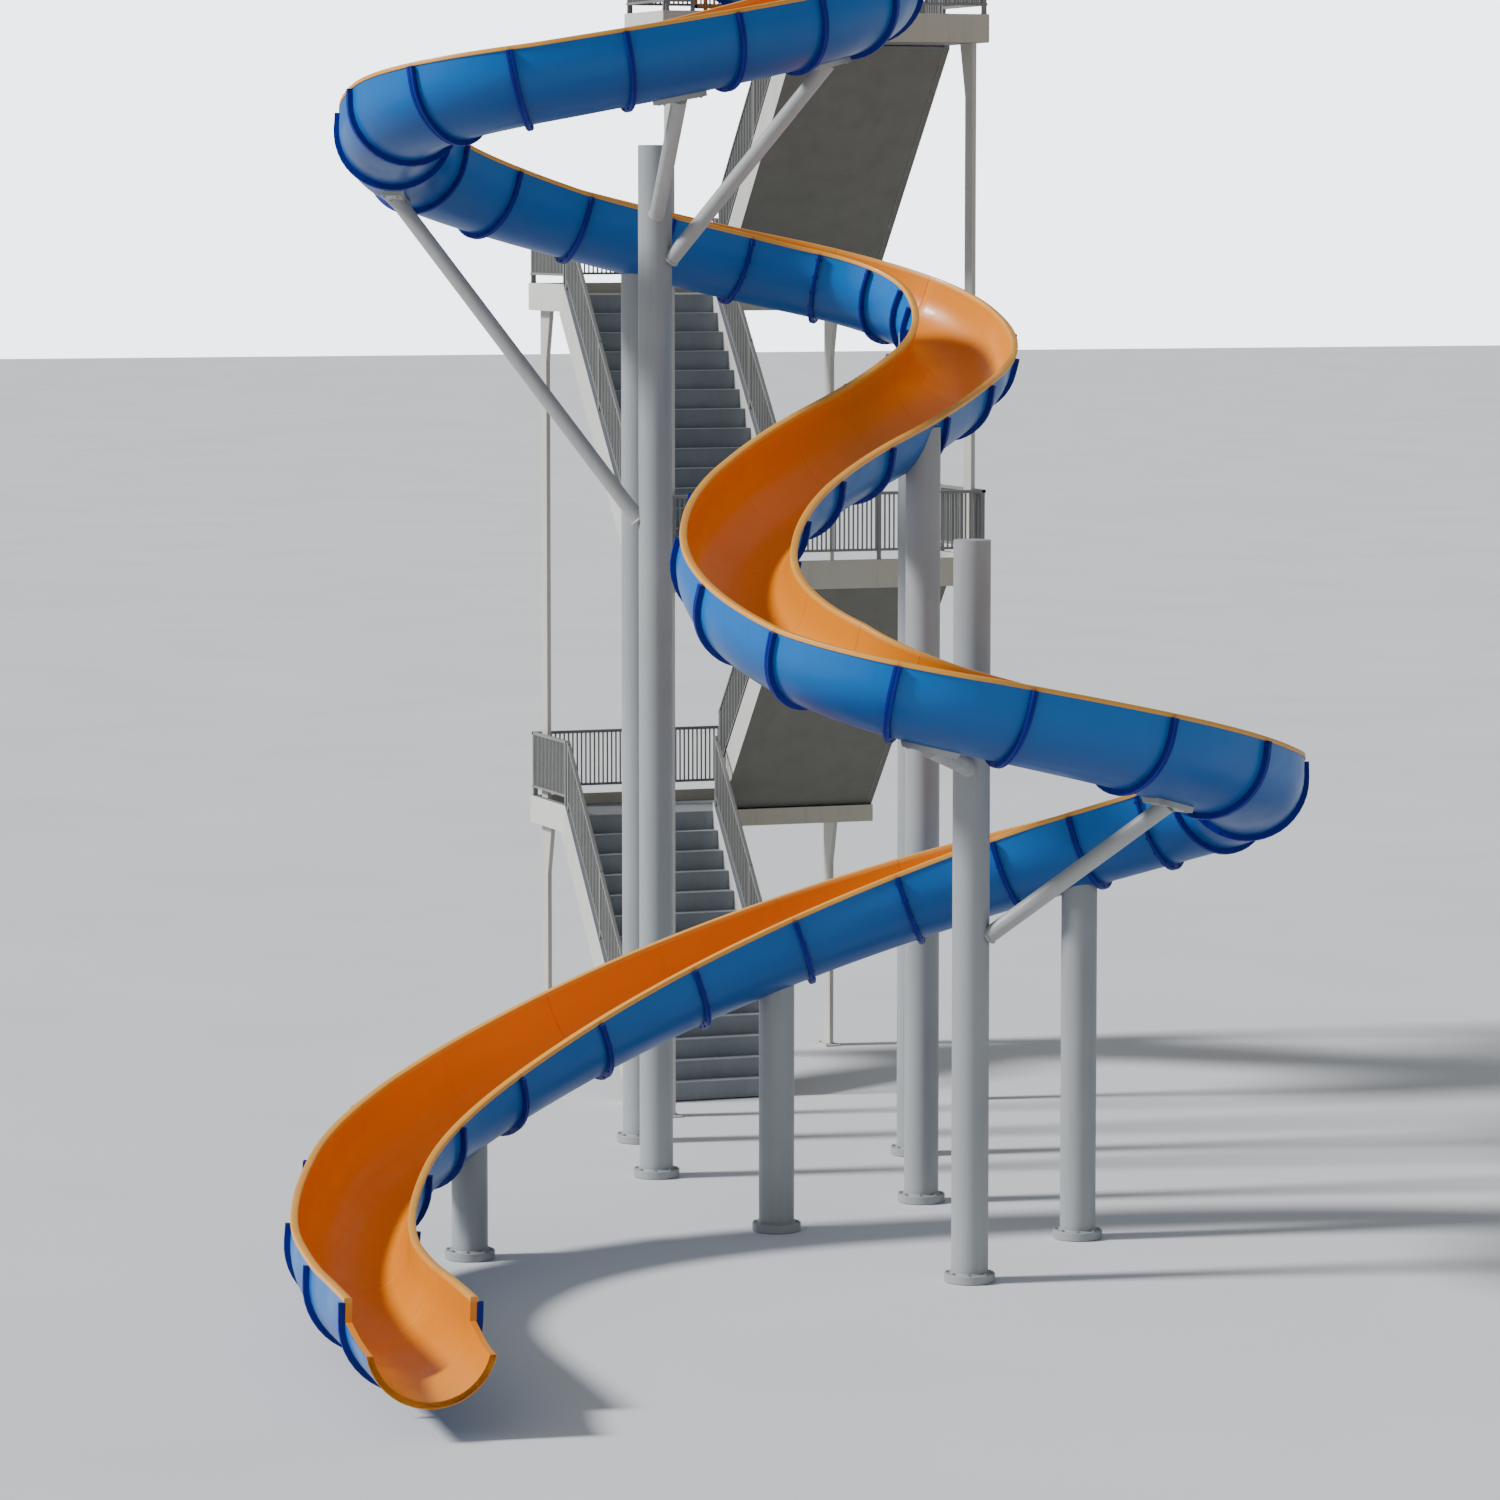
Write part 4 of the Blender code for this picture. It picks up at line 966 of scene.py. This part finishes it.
def build_landing_rails():
    """Railings of the three landings and the start platform."""
    edge_x = LANDING_HALF_WIDTH - RAIL_INSET
    edge_y = LANDING_OUTER_Y - RAIL_INSET
    foot_y = UPSTAND_STOP_Y + RAIL_END_GAP / 2.0
    head_y = LANDING_INNER_Y + RAIL_END_GAP
    for name, level, side in LANDINGS:
        left_y, right_y = (head_y, foot_y) if side > 0 else (foot_y, head_y)
        plan = [(-edge_x, side * left_y), (-edge_x, side * edge_y),
                (edge_x, side * edge_y), (edge_x, side * right_y)]
        height = STOREY * level + UPSTAND_HEIGHT
        railing("rail_" + name, plan, lambda x, y, h=height: h, (1, 3, 1), RAIL_TOP)
    height = PLATFORM_Z + UPSTAND_HEIGHT
    opening = GATE_WIDTH / 2.0 + GATE_CLEAR
    guard_y = LANDING_INNER_Y + RAIL_INSET
    left = [(START[0] - opening, -edge_y), (-edge_x, -edge_y), (-edge_x, -guard_y),
            (-LANE_INNER_X - RAIL_INSET, -guard_y)]
    right = [(START[0] + opening, -edge_y), (edge_x, -edge_y), (edge_x, -head_y)]
    railing("rail_platform_left", left, lambda x, y: height, (1, 1, 2), RAIL_TOP)
    railing("rail_platform_right", right, lambda x, y: height, (3, 1), RAIL_TOP)


def build_flight_rails():
    """Sloping railings on both stringers of each flight."""
    pitch = RISE / GOING
    sides = (("outer", LANE_OUTER_X - RAIL_INSET), ("inner", LANE_INNER_X + RAIL_INNER_INSET))
    for n, (level, direction, lane) in enumerate(FLIGHTS):
        def base(x, y, foot_z=STOREY * level, direction=direction):
            return foot_z + RISE + (direction * y - FLIGHT_FOOT_Y) * pitch + STRINGER_ABOVE_NOSING

        for word, x in sides:
            plan = [(lane * x, direction * (FLIGHT_FOOT_Y + RAIL_END_GAP)),
                    (lane * x, direction * (LANDING_INNER_Y - RAIL_END_GAP))]
            railing("rail_flight_%d_%s" % (n + 1, word), plan, base, (2,), RAIL_TOP_ON_FLIGHT)


# ---------------------------------------------------------------- start equipment
def rounded(points, radius, steps=6):
    """Corner points replaced by short curves."""
    pts = [Vector(p) for p in points]
    out = [pts[0]]
    for i in range(1, len(pts) - 1):
        into = (pts[i] - pts[i - 1]).normalized()
        leave = (pts[i + 1] - pts[i]).normalized()
        a = pts[i] - into * radius
        b = pts[i] + leave * radius
        for k in range(steps + 1):
            t = k / steps
            out.append(a * (1 - t) ** 2 + pts[i] * (2 * t * (1 - t)) + b * t ** 2)
    out.append(pts[-1])
    return out


def build_launch_bar():
    """Bent bar over the start tub, with a grip in the middle."""
    reach = RIM_HALF_WIDTH - BAR_INSET
    outline = ((reach, GAP), (reach, BAR_HEIGHT), (-reach, BAR_HEIGHT), (-reach, GAP))
    corners = [path.place(BAR_AT, u, w) for u, w in outline]
    bar = Shape()
    bar.tube(rounded(corners, LAUNCH_BAR_BEND), BAR_RADIUS)
    up = path.frame(BAR_AT)[2]
    for foot in (corners[0], corners[-1]):
        bar.turned(foot, up, LAUNCH_FOOT_OUTLINE)
    bar.make("launch_bar_tube", "steel", replaces=("launch_bar",))
    grip = Shape()
    ends = [path.place(BAR_AT, u, BAR_HEIGHT) for u in (GRIP_HALF_LENGTH, -GRIP_HALF_LENGTH)]
    grip.tube(ends, BAR_RADIUS + GRIP_PROUD)
    grip.make("launch_bar_grip", "rubber")


def build_gate():
    """Gate leaf across the start, hinged at its left edge, riding on the gate body."""
    x0 = START[0] - GATE_WIDTH / 2.0
    x1 = x0 + GATE_WIDTH
    middle = (x0 + x1) / 2.0
    z0 = PLATFORM_Z + UPSTAND_HEIGHT + GATE_SILL
    z1 = z0 + GATE_HEIGHT
    half = GATE_BAR / 2.0
    leaf = Shape()
    for z in (z0 + half, z1 - half):
        leaf.bevelled_box((middle, GATE_Y, z), (GATE_WIDTH / 2.0, half, half))
    stile = (half, half, GATE_HEIGHT / 2.0 - GATE_STILE_SHORT)
    for x in (x0 + half, x1 - half, middle):
        leaf.bevelled_box((x, GATE_Y, (z0 + z1) / 2.0), stile)
    leaf.make("start_gate_frame", "gate", body="gate", replaces=("start_gate",))
    infill = Shape()
    for left in (x0 + half, middle):
        for k in range(1, GATE_BARS_PER_HALF + 1):
            x = left + (GATE_WIDTH / 2.0 - half) * k / (GATE_BARS_PER_HALF + 1)
            infill.post(x, GATE_Y, z0 + half, z1 - half, BALUSTER)
    infill.make("start_gate_bars", "gate", body="gate", smooth=CRISP_ANGLE)
    irons = Shape()
    knuckle = ((HINGE_RADIUS, 0.0), (HINGE_RADIUS, HINGE_HEIGHT))
    for z in (z0 + HINGE_FROM_BOTTOM, z1 - HINGE_FROM_TOP):
        irons.turned((x0, GATE_Y + half + HINGE_OUT, z), UP, knuckle, 16)
    latch = (x1 - LATCH_FROM_EDGE, GATE_Y + half + LATCH_HALF[1], z1 - LATCH_FROM_TOP)
    irons.bevelled_box(latch, LATCH_HALF)
    irons.make("start_gate_irons", "steel", body="gate")


def build_water_inlet():
    """Riser pipe with its rings, and the spout into the start tub."""
    floor = PLATFORM_Z + GAP
    top = floor + PIPE_RISE
    spout = (PIPE_REACH_X, PIPE_END_Y, top - PIPE_DROP)
    corners = [(PIPE_X, PIPE_Y, floor), (PIPE_X, PIPE_Y, top),
               (PIPE_REACH_X, PIPE_END_Y, top), spout]
    pipe = Shape()
    pipe.tube(rounded(corners, PIPE_BEND), PIPE_RADIUS - PIPE_SKIN, PIPE_FACETS)
    for height in PIPE_RING_HEIGHTS:
        pipe.turned((PIPE_X, PIPE_Y, floor + height), UP, PIPE_RING_OUTLINE, PIPE_FACETS)
    pipe.turned(spout, UP, SPOUT_RING_OUTLINE, PIPE_FACETS)
    pipe.make("water_inlet_pipe", "steel", replaces=("water_inlet",))


def build_lever():
    """Valve lever on its hub, riding on the lever body."""
    z = PLATFORM_Z + LEVER_HEIGHT
    y = PIPE_Y + PIPE_RADIUS + GAP
    lever = Shape()
    r = LEVER_HUB_RADIUS
    hub = ((r, 0.0), (r, LEVER_SPINDLE - LEVER_NUT), (r * LEVER_NUT_TAPER, LEVER_SPINDLE))
    lever.turned((PIPE_X, y, z), (0, 1, 0), hub)
    mid = (PIPE_X + LEVER_LENGTH / 2.0, y + LEVER_STAND_OFF, z)
    half = (LEVER_LENGTH / 2.0, LEVER_THICKNESS / 2.0, LEVER_GRIP / 2.0)
    lever.bevelled_box(mid, half, edge=LEVER_EDGE)
    lever.make("valve_lever_arm", "lever", body="lever", replaces=("valve_lever",))


# ---------------------------------------------------------------- stage
def build_stage():
    """Pale floor, soft key and fill suns, and a sky that looks brighter than it lights."""
    mesh = bpy.data.meshes.new("floor")
    around = ((-1, -1), (1, -1), (1, 1), (-1, 1))
    corners = [(sx * FLOOR_HALF_SIZE, sy * FLOOR_HALF_SIZE, -FLOOR_DROP) for sx, sy in around]
    mesh.from_pydata(corners, [], [(0, 1, 2, 3)])
    mesh.materials.append(MATERIALS["floor"])
    floor = bpy.data.objects.new("floor", mesh)
    bpy.context.scene.collection.objects.link(floor)
    for name, energy, turn, width in SUNS:
        data = bpy.data.lights.new(name, "SUN")
        data.energy = energy
        data.angle = math.radians(width)
        obj = bpy.data.objects.new(name, data)
        obj.rotation_euler = [math.radians(a) for a in turn]
        bpy.context.scene.collection.objects.link(obj)
    world = bpy.data.worlds.new("studio")
    world.use_nodes = True
    nodes = world.node_tree.nodes
    link = world.node_tree.links.new
    back = nodes["Background"]
    back.inputs["Color"].default_value = SKY_COLOUR
    seen = nodes.new("ShaderNodeMapRange")
    seen.inputs["To Min"].default_value = SKY_LIGHT
    seen.inputs["To Max"].default_value = SKY_SEEN
    link(nodes.new("ShaderNodeLightPath").outputs["Is Camera Ray"], seen.inputs["Value"])
    link(seen.outputs["Result"], back.inputs["Strength"])
    bpy.context.scene.world = world


def build_camera():
    data = bpy.data.cameras.new("camera")
    data.lens = LENS
    data.sensor_width = SENSOR
    data.clip_end = CLIP_END
    camera = bpy.data.objects.new("camera", data)
    camera.location = CAMERA_AT
    camera.rotation_euler = (math.pi / 2.0 - CAMERA_DIP, 0.0, CAMERA_HEADING)
    bpy.context.scene.collection.objects.link(camera)
    bpy.context.scene.camera = camera


skins = build_flume()
build_exit()
build_columns(skins)
build_arms()
dress_frame_nodes()
build_nosings()
build_post_feet()
build_landing_rails()
build_flight_rails()
build_launch_bar()
build_gate()
build_water_inlet()
build_lever()
build_stage()
build_camera()
